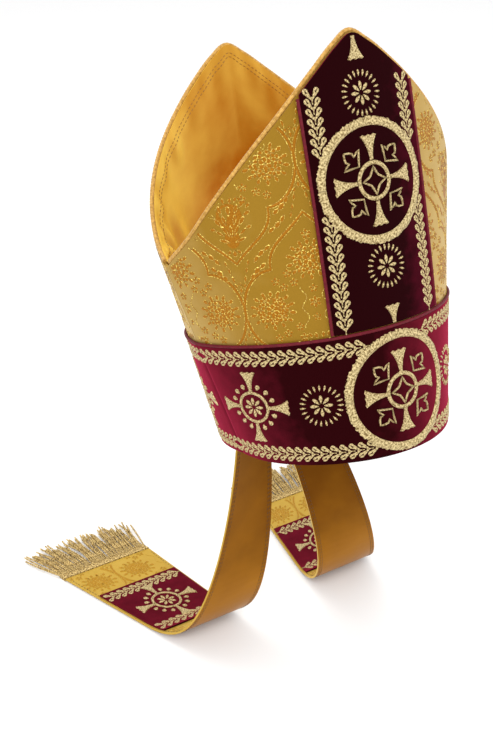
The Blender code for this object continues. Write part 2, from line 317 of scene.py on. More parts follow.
def square_to(face, first, second):
    """Which way a face looks, from two small steps on it."""
    along = face(first + PROBE, second) - face(first - PROBE, second)
    beside = face(first, second + PROBE) - face(first, second - PROBE)
    way = np.cross(along, beside)
    return way / np.linalg.norm(way, axis=-1, keepdims=True)


def off_wall(distance, up, out=0.0):
    """Points that far off the front panel's face, before the lean."""
    distance, up, out = np.broadcast_arrays(*(np.asarray(v, float) for v in (distance, up, out)))
    return upright(distance, up) + square_to(upright, distance, up) * out[..., None]


def lean(points, back=False):
    """Turn front points to the back if asked, and lean them as the mitre is worn."""
    if back:
        points = points * [-1, -1, 1]
    return points @ TILT.T


def on_wall(distance, up, out=0.0, back=False):
    return lean(off_wall(distance, up, out), back)


print("tip:", on_wall(0, HEIGHT).round(4))


# %% The horn's edge
def horn_top(share):
    """Height of the horn's edge at a share of the panel's half width."""
    places = np.concatenate([-EDGE_ACROSS[:0:-1], EDGE_ACROSS])
    values = np.concatenate([EDGE_UP[:0:-1], EDGE_UP])
    slopes = np.gradient(values, places)
    share = np.clip(np.asarray(share, float), -1, 1)
    row = np.clip(np.searchsorted(places, share) - 1, 0, len(places) - 2)
    width = places[row + 1] - places[row]
    t = (share - places[row]) / width
    start = (1 + 2 * t) * (1 - t) ** 2 * values[row] + t * (1 - t) ** 2 * width * slopes[row]
    end = t * t * (3 - 2 * t) * values[row + 1] + t * t * (t - 1) * width * slopes[row + 1]
    return mix(NOTCH_HEIGHT, HEIGHT, start + end)


def top_over(distance):
    """Height of the horn's edge straight above a distance from the centre line."""
    distance = np.asarray(distance, float)
    low = np.full(distance.shape, NOTCH_HEIGHT)
    high = np.full(distance.shape, HEIGHT)
    for _ in range(HALVINGS):
        up = (low + high) / 2
        under = horn_top(np.abs(distance) / half_width(up)) > up
        low = np.where(under, up, low)
        high = np.where(under, high, up)
    return low


def horn_edge(share, out, rise):
    """Points raised square from the horn's edge along the wall, before the lean."""
    def here(place):
        up = horn_top(place)
        return off_wall(place * half_width(up), up, out)

    along = here(share + PROBE) - here(share - PROBE)
    along /= np.linalg.norm(along, axis=-1, keepdims=True)
    up = horn_top(share)
    outward = square_to(upright, share * half_width(up), up)
    return here(share) + np.cross(outward, along) * rise


print("horn's edge at a quarter, half and three quarters:", horn_top([0.25, 0.5, 0.75]).round(4))

# %% [markdown]
# Cloth, cord and stitch. A sheet starts as a flat grid, gets its pattern map from its flat sizes,
# is laid on a surface and then thickened. A cord is a tube that follows a line of points, so the
# thread direction is known everywhere. A row of stitches is many short cords.

# %% Cloth helpers
def cloth(name, finishes, columns, rows, flat, surface, thickness, side=-1):
    """A sheet, from a grid. flat() turns its unit square into lengths on the cut pattern, and
    surface() turns those into places. side is where the thickness goes, 1 in front of the sheet
    and -1 behind it, and a second finish covers the face that it adds."""
    bpy.ops.object.select_all(action="DESELECT")
    bpy.ops.mesh.primitive_grid_add(x_subdivisions=columns, y_subdivisions=rows, size=1)
    item = added(name)
    spot = points_of(item)
    x, y = flat(spot[:, 0] + 0.5, spot[:, 1] + 0.5)
    set_map(item, x, y)
    set_points(item, surface(x, y))
    wear(item, *finishes)
    solid = item.modifiers.new("Cloth", "SOLIDIFY")
    solid.thickness = thickness
    solid.offset = side
    solid.use_even_offset = True
    solid.material_offset = len(finishes) - 1
    apply_all(item)
    smooth(item)
    return item


def cut_area(flat):
    """The area of the cloth that a piece is cut from, out of the flat outline of its pattern."""
    step = np.linspace(0, 1, 200)
    end = np.ones(200)
    x, y = flat(np.concatenate([step, end, step[::-1], 0 * end]),
                np.concatenate([0 * end, step, end, step[::-1]]))
    return float(abs(np.sum(x * np.roll(y, -1) - y * np.roll(x, -1))) / 2)


def gone_along(points):
    """How far along a line of points each one lies."""
    steps = np.linalg.norm(np.diff(points, axis=0), axis=1)
    return np.concatenate([[0], np.cumsum(steps)])


print("cloth helpers ready")

# %% Cord helpers
ASKEW = (0.31, 0.22, 0.93)


def tube_frames(path, closed):
    """Two directions square to a line of points, carried along it without twist."""
    if closed:
        ahead = np.roll(path, -1, 0) - np.roll(path, 1, 0)
    else:
        ahead = np.gradient(path, axis=0)
    ahead = ahead / np.linalg.norm(ahead, axis=1, keepdims=True)
    side = np.cross(ahead[0], ASKEW)
    sides = []
    for way in ahead:
        side = side - way * side.dot(way)
        side = side / np.linalg.norm(side)
        sides.append(side)
    sides = np.array(sides)
    return sides, np.cross(ahead, sides)


def tubes(name, paths, radius, sides=6, closed=False, ridge=None):
    """One mesh of cords. ridge=(pitch, depth) wraps a slanting thread round each."""
    points = []
    faces = []
    along = []
    around = []
    turns = np.linspace(0, 2 * pi, sides, endpoint=False)
    k = np.arange(sides)
    count = 0
    for path in paths:
        path = np.asarray(path, float)
        first, second = tube_frames(path, closed)
        gone = gone_along(path)
        size = np.full((len(path), sides), float(radius))
        if ridge:
            size *= 1 + ridge[1] * np.sin(2 * pi * gone[:, None] / ridge[0] + turns)
        circle = first[:, None] * np.cos(turns)[:, None] + second[:, None] * np.sin(turns)[:, None]
        points.append((path[:, None] + circle * size[..., None]).reshape(-1, 3))
        along.append(np.repeat(gone, sides))
        around.append(np.tile(turns * radius, len(path)))
        last = len(path) if closed else len(path) - 1
        i = np.arange(last)[:, None]
        j = (i + 1) % len(path)
        quads = np.stack([i * sides + k, i * sides + (k + 1) % sides,
                          j * sides + (k + 1) % sides, j * sides + k], -1)
        faces += (quads.reshape(-1, 4) + count).tolist()
        if not closed:
            faces.append((k[::-1] + count).tolist())
            faces.append((k + count + (len(path) - 1) * sides).tolist())
        count += len(path) * sides
    mesh = bpy.data.meshes.new(name)
    mesh.from_pydata(np.concatenate(points).tolist(), [], faces)
    item = bpy.data.objects.new(name, mesh)
    bpy.context.scene.collection.objects.link(item)
    set_map(item, np.concatenate(along), np.concatenate(around))
    smooth(item)
    return item


def stitches(name, line, pitch, share, radius):
    """Short threads along a line of points, each a share of the pitch long."""
    gone = gone_along(line)
    paths = []
    for start in np.arange(0, gone[-1] - pitch, pitch):
        places = start + np.linspace(0, pitch * share, 3)
        paths.append(np.stack([np.interp(places, gone, line[:, axis]) for axis in range(3)], -1))
    return tubes(name, paths, radius, 4)


print("cord helpers ready")

# %% [markdown]
# Finishes. Brocade is a satin ground of old gold with figures in a warmer thread and an edge of
# metal-wrapped thread that sparkles, its glints painted into its colour as bright specks. Velvet
# drinks light head-on and glows along its pile at the sides. Satin does so more softly. That
# sheen is painted into their colour, and into the brocade ground's. All of that could be painted
# on a picture, but a pattern that is worked out from the piece's own map stays sharp at any size
# and needs no file.

# %% Finish helpers
def finish(name, **sockets):
    """A Principled material with its even values set on its own sockets."""
    material = bpy.data.materials.new(name)
    material.use_nodes = True
    shader = material.node_tree.nodes["Principled BSDF"]
    for socket, value in sockets.items():
        shader.inputs[socket.replace("_", " ")].default_value = value
    return material


def node(material, kind, values=None, **settings):
    item = material.node_tree.nodes.new("ShaderNode" + kind)
    for key, value in settings.items():
        setattr(item, key, value)
    for key, value in (values or {}).items():
        item.inputs[key].default_value = value
    return item


def wire(material, source, target):
    material.node_tree.links.new(source, target)


def pattern_map(material):
    """The piece's own pattern map, which is in metres."""
    return node(material, "TexCoord").outputs["UV"]


def tint(material, factor, low, high, start=0.35, end=0.65):
    """Colour from low to high as a texture's value goes from start to end."""
    ramp = node(material, "ValToRGB")
    ramp.color_ramp.elements[0].position = start
    ramp.color_ramp.elements[0].color = (*low, 1)
    ramp.color_ramp.elements[1].position = end
    ramp.color_ramp.elements[1].color = (*high, 1)
    wire(material, factor, ramp.inputs["Fac"])
    shader = material.node_tree.nodes["Principled BSDF"]
    wire(material, ramp.outputs["Color"], shader.inputs["Base Color"])


def relief(material, height, distance, strength=1.0):
    bump = node(material, "Bump", {"Strength": strength, "Distance": distance})
    wire(material, height, bump.inputs["Height"])
    shader = material.node_tree.nodes["Principled BSDF"]
    wire(material, bump.outputs["Normal"], shader.inputs["Normal"])


def noise(material, scale, detail=2.0, rough=0.5):
    """Cloudy values over the pattern map, with a scale in clouds for each metre."""
    item = node(material, "TexNoise", {"Scale": scale, "Detail": detail, "Roughness": rough})
    wire(material, pattern_map(material), item.inputs["Vector"])
    return item.outputs["Fac"]


def weave(material, scale):
    """Slanting ribs over the pattern map, a little uneven."""
    item = node(material, "TexWave", {"Scale": scale, "Distortion": 1.5, "Detail": 2.0},
                bands_direction="DIAGONAL")
    wire(material, pattern_map(material), item.inputs["Vector"])
    return item.outputs["Fac"]


def plus(material, first, second, start, end, most):
    """First value, and up to most added or taken off as the second goes from start to end."""
    change = node(material, "MapRange", {"From Min": start, "From Max": end,
                                         "To Min": -most, "To Max": most})
    wire(material, second, change.inputs["Value"])
    total = node(material, "Math", operation="ADD", use_clamp=True)
    wire(material, first, total.inputs[0])
    wire(material, change.outputs["Result"], total.inputs[1])
    return total.outputs["Value"]


PAINTED_SHADE_FADE_START = 0.10
PAINTED_SHADE_FADE_END = 0.19


def painted_sheen(material, low, high, start, end, uneven, grain, lift=0.0):
    """Cloth with a painted sheen: its colour is deep head-on and lighter along its sides, with a
    little unevenness, which on satin is painted broad reflections. lift paints shade near the
    middle of its pattern and light far from it."""
    # Painted sheen: the colour lightens as the cloth is seen more edge-on.
    facing = node(material, "LayerWeight", {"Blend": 0.5}).outputs["Facing"]
    value = plus(material, facing, noise(material, grain, 4), 0.3, 0.7, uneven)
    # Painted shade: darker near the middle of the pattern map, low in the lining's valley and at
    # the top of a lappet's fall; lighter further out.
    if lift:
        parts = node(material, "SeparateXYZ")
        away = node(material, "Math", operation="ABSOLUTE")
        wire(material, pattern_map(material), parts.inputs["Vector"])
        wire(material, parts.outputs["Y"], away.inputs[0])
        value = plus(material, value, away.outputs["Value"], PAINTED_SHADE_FADE_START, PAINTED_SHADE_FADE_END, lift)
    tint(material, value, low, high, start, end)


print("finish helpers ready")


# %% Brocade, velvet, satin and thread
def brocade(name, low, high):
    """The ground weave of a brocade, whose gold is painted paler along its sides as a sheen."""
    material = finish(name, Roughness=0.42, Metallic=0.30, Specular_Tint=(0.95, 0.70, 0.30, 1))
    painted_sheen(material, low, high, 0.08, 0.72, 0.07, 45)
    relief(material, weave(material, 420), 0.00012, 0.5)
    return material


def floats(name, low, high):
    """The smoother threads that draw a figure on the ground."""
    material = finish(name, Roughness=0.45, Metallic=0.20, Specular_Tint=(0.95, 0.60, 0.20, 1))
    tint(material, noise(material, 900), low, high)
    return material


def pile(name, low, high, start, end):
    """Velvet: it drinks light head-on, and the light that its pile catches along its sides is
    painted into its colour as sheen.
    """
    material = finish(name, Roughness=0.9, Sheen_Weight=0.25, Sheen_Roughness=0.3,
                      Sheen_Tint=(0.9, 0.05, 0.20, 1), Specular_IOR_Level=0.03)
    painted_sheen(material, low, high, start, end, 0.05, 90)
    relief(material, noise(material, 2200), 0.0003, 0.4)
    return material


def silk(name, low, high, metal, shine, lift):
    """Satin: a painted sheen makes it deep head-on and light at its sides, lift paints shade into
    it, and its weave is too fine to see.
    """
    material = finish(name, Roughness=0.34, Metallic=metal, Specular_IOR_Level=shine,
                      Specular_Tint=(1.0, 0.72, 0.28, 1))
    painted_sheen(material, low, high, 0.06, 0.54, 0.13, 17, lift)
    relief(material, weave(material, 500), 0.00004, 0.25)
    return material


def metal_thread(name, rough, low, high, grain):
    """Gold thread: each turn of its wrapped foil shines or hides, painted into its colour as bright
    glints and dark specks, so it looks like fine grit.
    """
    material = finish(name, Roughness=rough, Metallic=0.25, Specular_Tint=(1.0, 0.9, 0.6, 1))
    tint(material, noise(material, grain, 3, 0.6), low, high, 0.38, 0.60)
    relief(material, noise(material, grain, 2, 0.7), 0.0008)
    return material


def plain(name, grain, low, high, **sockets):
    """An even thread or cloth in two close colours."""
    material = finish(name, **sockets)
    tint(material, noise(material, grain), low, high)
    return material


print("kinds of cloth ready")

# %% Finishes
ground = brocade("brocade_ground", (0.274, 0.145, 0.011), (0.48, 0.33, 0.11))
figure = floats("brocade_figure", (0.260, 0.092, 0.003), (0.360, 0.142, 0.008))
ribbon_ground = brocade("ribbon_brocade", (0.40, 0.23, 0.018), (0.60, 0.40, 0.075))
ribbon_figure = floats("ribbon_figure", (0.33, 0.155, 0.008), (0.46, 0.24, 0.020))

# The metal edge thread's bright specks are painted glints.
lurex = finish("lurex_edge", Roughness=0.40, Metallic=0.35)
tint(lurex, noise(lurex, 900, 1), (0.31, 0.155, 0.008), (0.84, 0.66, 0.13), 0.50, 0.61)

# lift paints shade low in the lining's valley and low inside the panels.
satin = silk("amber_satin", (0.36, 0.104, 0.0008), (0.76, 0.49, 0.070), metal=0.10, shine=0.15,
             lift=0.11)
# The lappets' satin back is a darker copy of the amber satin, as painted shade, with lift painting
# more shade at the top of the fall.
shaded_ribbon_satin = silk("shaded_ribbon_satin", (0.130, 0.040, 0.0005), (0.30, 0.115, 0.004), metal=0.0,
                    shine=0.1, lift=0.09)

piping_satin = plain("piping_satin", 400, (0.36, 0.18, 0.030), (0.60, 0.34, 0.085),
                     Roughness=0.34, Sheen_Weight=0.2, Sheen_Roughness=0.3,
                     Specular_Tint=(1.0, 0.85, 0.5, 1))
dark_thread = finish("dark_thread", Base_Color=(0.060, 0.022, 0.002, 1), Roughness=0.5)
stitch_thread = plain("stitch_thread", 600, (0.21, 0.080, 0.006), (0.31, 0.130, 0.014),
                      Roughness=0.5)

# One burgundy velvet in two copies: the band's and patches' copy is lit, with a stronger painted
# sheen, and the tituli's copy is shaded, with less.
velvet = pile("shaded_pile", (0.013, 0.0005, 0.0012), (0.20, 0.006, 0.030), 0.30, 1.0)
lit_velvet = pile("lit_pile", (0.018, 0.0006, 0.0014), (0.26, 0.012, 0.033), 0.12, 0.88)

cord_velvet = plain("burgundy_cord", 300, (0.090, 0.0025, 0.008), (0.140, 0.005, 0.014),
                    Roughness=0.6, Sheen_Weight=0.07, Sheen_Roughness=0.3,
                    Sheen_Tint=(0.9, 0.1, 0.2, 1), Specular_IOR_Level=0.2)

thread = metal_thread("gold_thread", 0.40, (0.15, 0.092, 0.024), (0.68, 0.54, 0.27), 720)
bullion = metal_thread("bullion_thread", 0.38, (0.115, 0.050, 0.005), (0.82, 0.60, 0.24), 620)
print("finishes:", len(bpy.data.materials))

# %% [markdown]
# The two brocade panels are the stiffened walls of the hat. Each could be swept, but since the wall
# only bends, a flat pattern piece that is laid on it keeps its weave true. The inner side is plain.

# %% Brocade panels
SEAM_CLEAR = 0.9985
TUCK = 0.0008


def panel_flat(u, v):
    share = (2 * u - 1)
    up = mix(3 * GAP, horn_top(share) + TUCK, v)
    return share * half_width(up) * SEAM_CLEAR, up


for end in ("front", "back"):
    panel = cloth(f"{end}_brocade", (ground, satin), 120, 60, panel_flat,
                  lambda x, y: on_wall(x, y, 0, end == "back"), PANEL_WALL)
    cut_area(panel_flat)
    belongs(panel, "gold_brocade", f"{end}_panel")

# %% [markdown]
# The lining lies along the inside of both horns and crosses between them as a soft valley. Satin
# shows every ripple, so short ripples run in from its sewn edge and deep folds gather near the
# notches. All of them stand off the panel, because cloth can't sink into the wall behind it.

# %% Satin lining
VALLEY_DIP = 0.028
VALLEY_END = 0.983
VALLEY_CROWDING = 1.6
VALLEY_ROUNDING = 3
LINING_TUCK = 0.0018
FOLD_DEPTH = 0.007
FOLDS = [
    {"across": 0.55, "up": 0.52, "wide": 0.060, "tall": 0.17, "deep": 0.45},
    {"across": 0.72, "up": 0.62, "wide": 0.050, "tall": 0.20, "deep": 0.70},
    {"across": 0.85, "up": 0.60, "wide": 0.040, "tall": 0.26, "deep": 1.00},
]
DENTS = [
    {"across": 0.10, "up": 0.80, "wide": 0.260, "tall": 0.150, "deep": 0.60},
    {"across": 0.20, "up": 0.93, "wide": 0.050, "tall": 0.055, "deep": 0.18},
    {"across": 0.38, "up": 0.91, "wide": 0.036, "tall": 0.060, "deep": 0.26},
    {"across": 0.53, "up": 0.92, "wide": 0.034, "tall": 0.050, "deep": 0.22},
    {"across": 0.66, "up": 0.88, "wide": 0.034, "tall": 0.070, "deep": 0.34},
    {"across": 0.79, "up": 0.87, "wide": 0.030, "tall": 0.075, "deep": 0.34},
    {"across": 0.90, "up": 0.84, "wide": 0.026, "tall": 0.090, "deep": 0.38},
]
RIPPLE_DEPTH = 0.0005
RIPPLE_REACH = 0.05
SWELL_DEPTH = 0.0026
LINING_HALF = 0.170
LINING_RUN = 0.200


def lining_rise(across, place):
    """How far the lining stands off the panel."""
    deep = np.zeros(np.shape(across))
    for fold in FOLDS + DENTS:
        far = ((np.abs(across) - fold["across"]) / fold["wide"]) ** 2
        far = far + ((place - fold["up"]) / fold["tall"]) ** 2
        deep += fold["deep"] * FOLD_DEPTH * np.exp(-far)
    edge = np.exp(-(1 - place) / RIPPLE_REACH) * np.clip((1 - place) / RIPPLE_REACH, 0, 1)
    wave = np.sin(47 * across + 2) + np.sin(71 * across - 1) + np.sin(29 * across + 4 * place)
    deep += RIPPLE_DEPTH * edge * (2.6 + wave)
    slow = np.sin(4.5 * across + 6 * place) + np.cos(7 * place - 3 * across)
    deep += SWELL_DEPTH * (1 - place) * place * (2 + slow)
    return deep


def lining_flat(u, v):
    return LINING_HALF * VALLEY_END * (2 * u - 1), LINING_RUN * (2 * v - 1)


def lining_space(x, y):
    across = x / LINING_HALF
    run = y / LINING_RUN
    place = np.abs(run)
    valley = NOTCH_HEIGHT - VALLEY_DIP * (1 - across ** 2)
    up = mix(valley, horn_top(across) + LINING_TUCK, place ** VALLEY_CROWDING)
    seat = PANEL_WALL + GAP + lining_rise(across, place)
    spot = off_wall(across * half_width(up), up, -seat)
    spot[:, 1] *= 1 - (1 - place) ** VALLEY_ROUNDING
    spot[:, 1] *= np.where(run > 0, -1, 1)
    return lean(spot)


lining = cloth("satin_lining", (satin,), 160, 160, lining_flat, lining_space, LINING_WALL, side=1)
along = np.linspace(-1, 1, 400)
wide = LINING_HALF * VALLEY_END * along
lining_long = float(gone_along(lining_space(0 * along, LINING_RUN * along))[-1])
lining_wide = float(max(gone_along(lining_space(wide, LINING_RUN * run + 0 * along))[-1]
                        for run in np.linspace(0, 0.9, 10)))
belongs(lining, "gold_satin", "lining")

# %% [markdown]
# Velvet band and tituli. The band is one ring, closed by a seam at each side, where the cloth dips
# a little. A titulus is the upright strip on a panel's centre line, cut to the horn's edge. Both
# are flat patterns laid on the wall, a hair off the brocade, so that no cloth cuts another.

# %% Velvet
BAND_HEIGHT = 0.0947
TITULUS_WIDTH = 0.0942
VELVET_PIPING = 0.0024
VELVET_FACE = GAP + VELVET_WALL
TITULUS_FOOT = BAND_HEIGHT + VELVET_PIPING + 3 * GAP
SEAM_DIP = 0.0006
SEAM_SPREAD = 0.0016


def band_flat(u, v):
    up = BAND_HEIGHT * v
    return (2 * u - 1) * half_width(up), up


def band_space(distance, up, back):
    from_seam = half_width(up) - np.abs(distance)
    out = VELVET_FACE - SEAM_DIP * np.exp(-(from_seam / SEAM_SPREAD) ** 2)
    spot = off_wall(distance, up, out)
    spot[:, 1] = np.where(from_seam < PROBE, 0.0, spot[:, 1])
    return lean(spot, back)


def titulus_flat(u, v):
    distance = (u - 0.5) * TITULUS_WIDTH
    return distance, mix(TITULUS_FOOT, top_over(distance), v)


halves = []
for end in ("front", "back"):
    back = end == "back"
    halves.append(cloth(f"{end}_band", (lit_velvet,), 160, 30, band_flat,
                        lambda x, y: band_space(x, y, back), VELVET_WALL))
    titulus = cloth(f"{end}_velvet", (velvet,), 36, 60, titulus_flat,
                    lambda x, y: on_wall(x, y, VELVET_FACE, back), VELVET_WALL)
    cut_area(titulus_flat)
    belongs(titulus, "burgundy_velvet", f"{end}_titulus")
band = join("velvet_band", halves)
2 * cut_area(band_flat)
belongs(band, "burgundy_velvet", "band")

# %% [markdown]
# Thin burgundy cords cover the velvet's raw edges: one runs round the top of the band, and one
# climbs each side of a titulus. A curve with a round bevel would look the same from afar, but a
# tube that is built point by point knows how far along and round the cord each point lies.

# %% Velvet pipings
PIPING_POINTS = 220
TITULUS_POINTS = 70
CORD_SIDES = 10
seat = VELVET_PIPING / 2 + GAP
up = BAND_HEIGHT + VELVET_PIPING / 2 + GAP
places = np.linspace(-1, 1, PIPING_POINTS) * float(half_width(up))
ring = off_wall(places, np.full(PIPING_POINTS, up), seat)
ring = np.concatenate([ring, ring[1:-1] * [-1, -1, 1]])
band_piping = tubes("velvet_band_piping", [lean(ring)], VELVET_PIPING / 2, CORD_SIDES,
                    closed=True)
wear(band_piping, cord_velvet)
belongs(band_piping, "burgundy_velvet", "band_piping")

for end in ("front", "back"):
    for hand, side in (("left", 1), ("right", -1)):
        way = -side if end == "back" else side
        distance = TITULUS_WIDTH / 2 + VELVET_PIPING / 2 + GAP
        top = float(top_over(distance)) - VELVET_PIPING / 2
        ups = np.linspace(TITULUS_FOOT + GAP, top, TITULUS_POINTS)
        line = on_wall(np.full(TITULUS_POINTS, way * distance), ups, seat, end == "back")
        piping = tubes(f"{end}_velvet_piping_{hand}", [line], VELVET_PIPING / 2, CORD_SIDES)
        wear(piping, cord_velvet)
        belongs(piping, "burgundy_velvet", f"{end}_titulus_piping_{hand}")

# %% [markdown]
# A satin piping covers the raw edges of panel and lining round each horn. It is a strip wound
# slantwise round a cord, so fine slanting ridges run round it. The tube carries them, because a
# texture couldn't show them on the outline.

# %% Edge pipings
EDGE_PIPING = 0.0034
EDGE_POINTS = 900
WINDING = (0.0026, 0.05)
for end in ("front", "back"):
    rise = EDGE_PIPING / 2 + GAP
    stop = 1 - (EDGE_PIPING + rise) / float(half_width(NOTCH_HEIGHT))
    middle = -(PANEL_WALL + GAP + LINING_WALL) / 2
    line = lean(horn_edge(np.linspace(-stop, stop, EDGE_POINTS), middle, rise), end == "back")
    piping = tubes(f"{end}_satin_piping", [line], EDGE_PIPING / 2, CORD_SIDES, ridge=WINDING)
    wear(piping, piping_satin)
    belongs(piping, "gold_satin", f"{end}_edge_piping")

# %% [markdown]
# Now the embroiderer's stock of shapes, all made flat: a grain, a laurel leaf that is a loop of
# padded thread, a flared arm of the cross, a lily and a star. A painted bump could stand for them,
# but thread over padding is high enough to cast a shadow. Each shape is modelled once and copied.

# %% Grain and leaf
def keep_map(item, turned=False):
    """Let the stitches run across the shape's length."""
    spot = points_of(item)
    if turned:
        set_map(item, spot[:, 0], spot[:, 1])
    else:
        set_map(item, spot[:, 1], spot[:, 0])


def every(co):
    """A test that all points pass."""
    return True


def resize(item, where, x, y=1.0, z=1.0, centre=0.0):
    """Size the points that pass a test, about a place on the shape's middle line."""
    edit(item, where, bpy.ops.transform.resize, value=(x, y, z), center_override=(0, centre, 0))


def slide(item, where, y=0.0, z=0.0):
    """Move the points that pass a test, along the shape or up."""
    edit(item, where, bpy.ops.transform.translate, value=(0, y, z))


def grain(long, wide, high):
    """A satin-stitched grain, narrower at its foot. Its foot is at the origin."""
    bpy.ops.object.select_all(action="DESELECT")
    bpy.ops.mesh.primitive_uv_sphere_add(segments=8, ring_count=6, radius=0.5,
                                         rotation=(pi / 2, 0, 0))
    item = added("grain")
    item.scale = (wide, high * 2, long)
    settle(item)
    resize(item, lambda co: co.y < -long * 0.2, 0.62, 1, 0.8)
    edit(item, every, bpy.ops.mesh.bisect, plane_co=(0, 0, -0.1 * high), plane_no=(0, 0, 1),
         clear_inner=True, use_fill=True)
    slide(item, every, y=long / 2)
    keep_map(item)
    smooth(item, 70)
    return item


def leaf(long, wide, thick):
    """A laurel leaf: a loop of padded thread, drawn out to a thick foot, which is at the origin."""
    bpy.ops.object.select_all(action="DESELECT")
    bpy.ops.mesh.primitive_torus_add(major_segments=12, minor_segments=5,
                                     major_radius=(wide - thick) / 2, minor_radius=thick / 2)
    item = added("leaf")
    item.scale = (1, 1, 0.75)
    settle(item)
    resize(item, lambda co: co.y < -wide * 0.05, 1, 2 * long / wide - 1)
    resize(item, lambda co: co.y < -long * 0.22, 0.62)
    resize(item, lambda co: co.y < -long * 0.50, 0.60, 1, 0.6)
    slide(item, every, y=long - wide / 2)
    keep_map(item)
    smooth(item, 70)
    return item


stock = {
    "petal": grain(6.6 * MM, 2.7 * MM, 0.9 * MM),
    "dash": grain(4.7 * MM, 1.7 * MM, 0.8 * MM),
    "dot": grain(4.6 * MM, 4.0 * MM, 1.0 * MM),
    "leaf": leaf(9.8 * MM, 4.1 * MM, 1.72 * MM),
}
print("stock:", {name: len(item.data.polygons) for name, item in stock.items()})

# %% Arm of the cross
ARM_ROWS = [(5.0, 1.9), (9.0, 2.8), (12.5, 4.2), (15.2, 5.7), (17.0, 7.0)]
ARM_FOOT = 1.5
ARM_HIGH = 0.8 * MM
ARM_SLOPE = 0.45 * MM
SCALLOP = 0.9 * MM
END_NEAR = 0.0001


def arm():
    """A flared arm of the cross with a scalloped end, drawn out from its foot at the origin."""
    bpy.ops.object.select_all(action="DESELECT")
    bpy.ops.mesh.primitive_plane_add(size=2 * ARM_FOOT * MM, location=(0, ARM_FOOT * MM, 0))
    item = added("arm")
    settle(item)
    reach = 2 * ARM_FOOT
    half = ARM_FOOT

    def at_end(co):
        return co.y > reach * MM - END_NEAR

    for rise, spread in ARM_ROWS:
        edit(item, at_end, bpy.ops.mesh.extrude_region_move,
             TRANSFORM_OT_translate={"value": (0, (rise - reach) * MM, 0)})
        reach = rise
        resize(item, at_end, spread / half, centre=reach * MM)
        half = spread
    edit(item, at_end, bpy.ops.mesh.subdivide, number_cuts=5)
    step = half * MM / 3
    slide(item, lambda co: at_end(co) and abs(co.x) < 2.5 * step and round(co.x / step) % 2 == 0,
          y=SCALLOP)
    edit(item, every, bpy.ops.mesh.inset, thickness=ARM_SLOPE, depth=ARM_HIGH)
    keep_map(item, turned=True)
    return item


stock["arm"] = arm()
print("arm faces:", len(stock["arm"].data.polygons))


# %% Lily and star
def stroke(name, rows, radius, closed=True, lift=0.0):
    """A padded line of thread through a table of places. All its sizes are in millimetres."""
    path = np.array([(x, y, lift) for x, y in rows]) * MM
    return tubes(name, [path], radius * MM, 6, closed)


def curved(rows, bend, steps):
    """A line through corners, whose sides bow inwards by a share of their length."""
    rows = np.array(rows, float)
    middle = rows.mean(0)
    out = []
    for a, b in zip(rows, np.roll(rows, -1, 0)):
        bow = 4 * bend * np.linalg.norm(b - a)
        for t in np.linspace(0, 1, steps, endpoint=False):
            spot = mix(a, b, t)
            pull = middle - spot
            out.append(spot + pull / np.linalg.norm(pull) * bow * t * (1 - t))
    return out


LILY = [(0, 0), (4.8, 3.9), (9.3, 7.2), (6.0, 7.6), (3.0, 7.3), (3.9, 9.8), (2.6, 12.2), (0, 14.8),
        (-2.6, 12.2), (-3.9, 9.8), (-3.0, 7.3), (-6.0, 7.6), (-9.3, 7.2), (-4.8, 3.9)]
STAR = [(0, 10.0), (3.5, 3.5), (10.0, 0), (3.5, -3.5), (0, -10.0), (-3.5, -3.5), (-10.0, 0),
        (-3.5, 3.5)]
stock["lily"] = stroke("lily", LILY, radius=0.80, lift=0.45)
stock["star"] = stroke("star", curved(STAR, bend=0.04, steps=3), radius=0.80, lift=0.3)
print("shapes in stock:", len(stock))

# %% [markdown]
# The motifs. A ring is a thick roll of satin stitch, whose outer edge is a little ragged. The great
# cross stands in such a ring, with a star at its heart and a lily between each two arms. A rosette
# is a flower in a circle of dashes. Each is made as a list of parts, to be joined when it is sewn.

# %% Rings and rosettes
def hoop(x, y, middle, half, high, segments, ragged=0.0):
    """A padded ring of satin stitches, whose outer edge may be ragged."""
    bpy.ops.object.select_all(action="DESELECT")
    bpy.ops.mesh.primitive_torus_add(major_segments=segments, minor_segments=8,
                                     major_radius=middle, minor_radius=half)
    item = added("hoop")
    item.scale = (1, 1, high / half)
    settle(item)
    spot = points_of(item)
    far = np.hypot(spot[:, 0], spot[:, 1])
    chance = np.random.default_rng(3).random(len(spot))
    grow = 1 + ragged * chance * (far > middle + 0.6 * half)
    set_points(item, spot * np.stack([grow, grow, np.ones_like(grow)], -1))
    set_map(item, np.arctan2(spot[:, 1], spot[:, 0]) * middle, far)
    smooth(item, 60)
    item.data.transform(Matrix.Translation((x, y, 0)))
    return item


def around(name, x, y, count, radius, start=0.0, size=1.0):
    """Copies of a shape in a circle, feet towards its centre."""
    out = []
    for number in range(count):
        turn = start + 2 * pi * number / count
        out.append(twin(stock[name], x - sin(turn) * radius, y + cos(turn) * radius, turn,
                        size, size))
    return out


def rosette(x, y):
    """A flower in a circle of dashes."""
    return (around("petal", x, y, count=8, radius=1.8 * MM)
            + around("dash", x, y, count=23, radius=11.4 * MM))


print("rings and rosettes ready")

# %% Crosses
ARM_REACH = 17.6 * MM
DOT_RING = 15.2 * MM
DOT_TURNS = [radians(90 * quarter + 45 + aside) for quarter in range(4) for aside in (-24, 0, 24)]


def medallion(x, y, outer, reach):
    """The great cross in its ring."""
    parts = [
        hoop(x, y, middle=outer - 2.9 * MM, half=2.8 * MM, high=1.4 * MM, segments=300,
             ragged=0.030),
        hoop(x, y, middle=12.6 * MM, half=1.5 * MM, high=1.0 * MM, segments=60),
        twin(stock["star"], x, y),
    ]
    parts += around("arm", x, y, count=4, radius=reach - ARM_REACH)
    parts += around("lily", x, y, count=4, radius=16.2 * MM, start=pi / 4)
    return parts


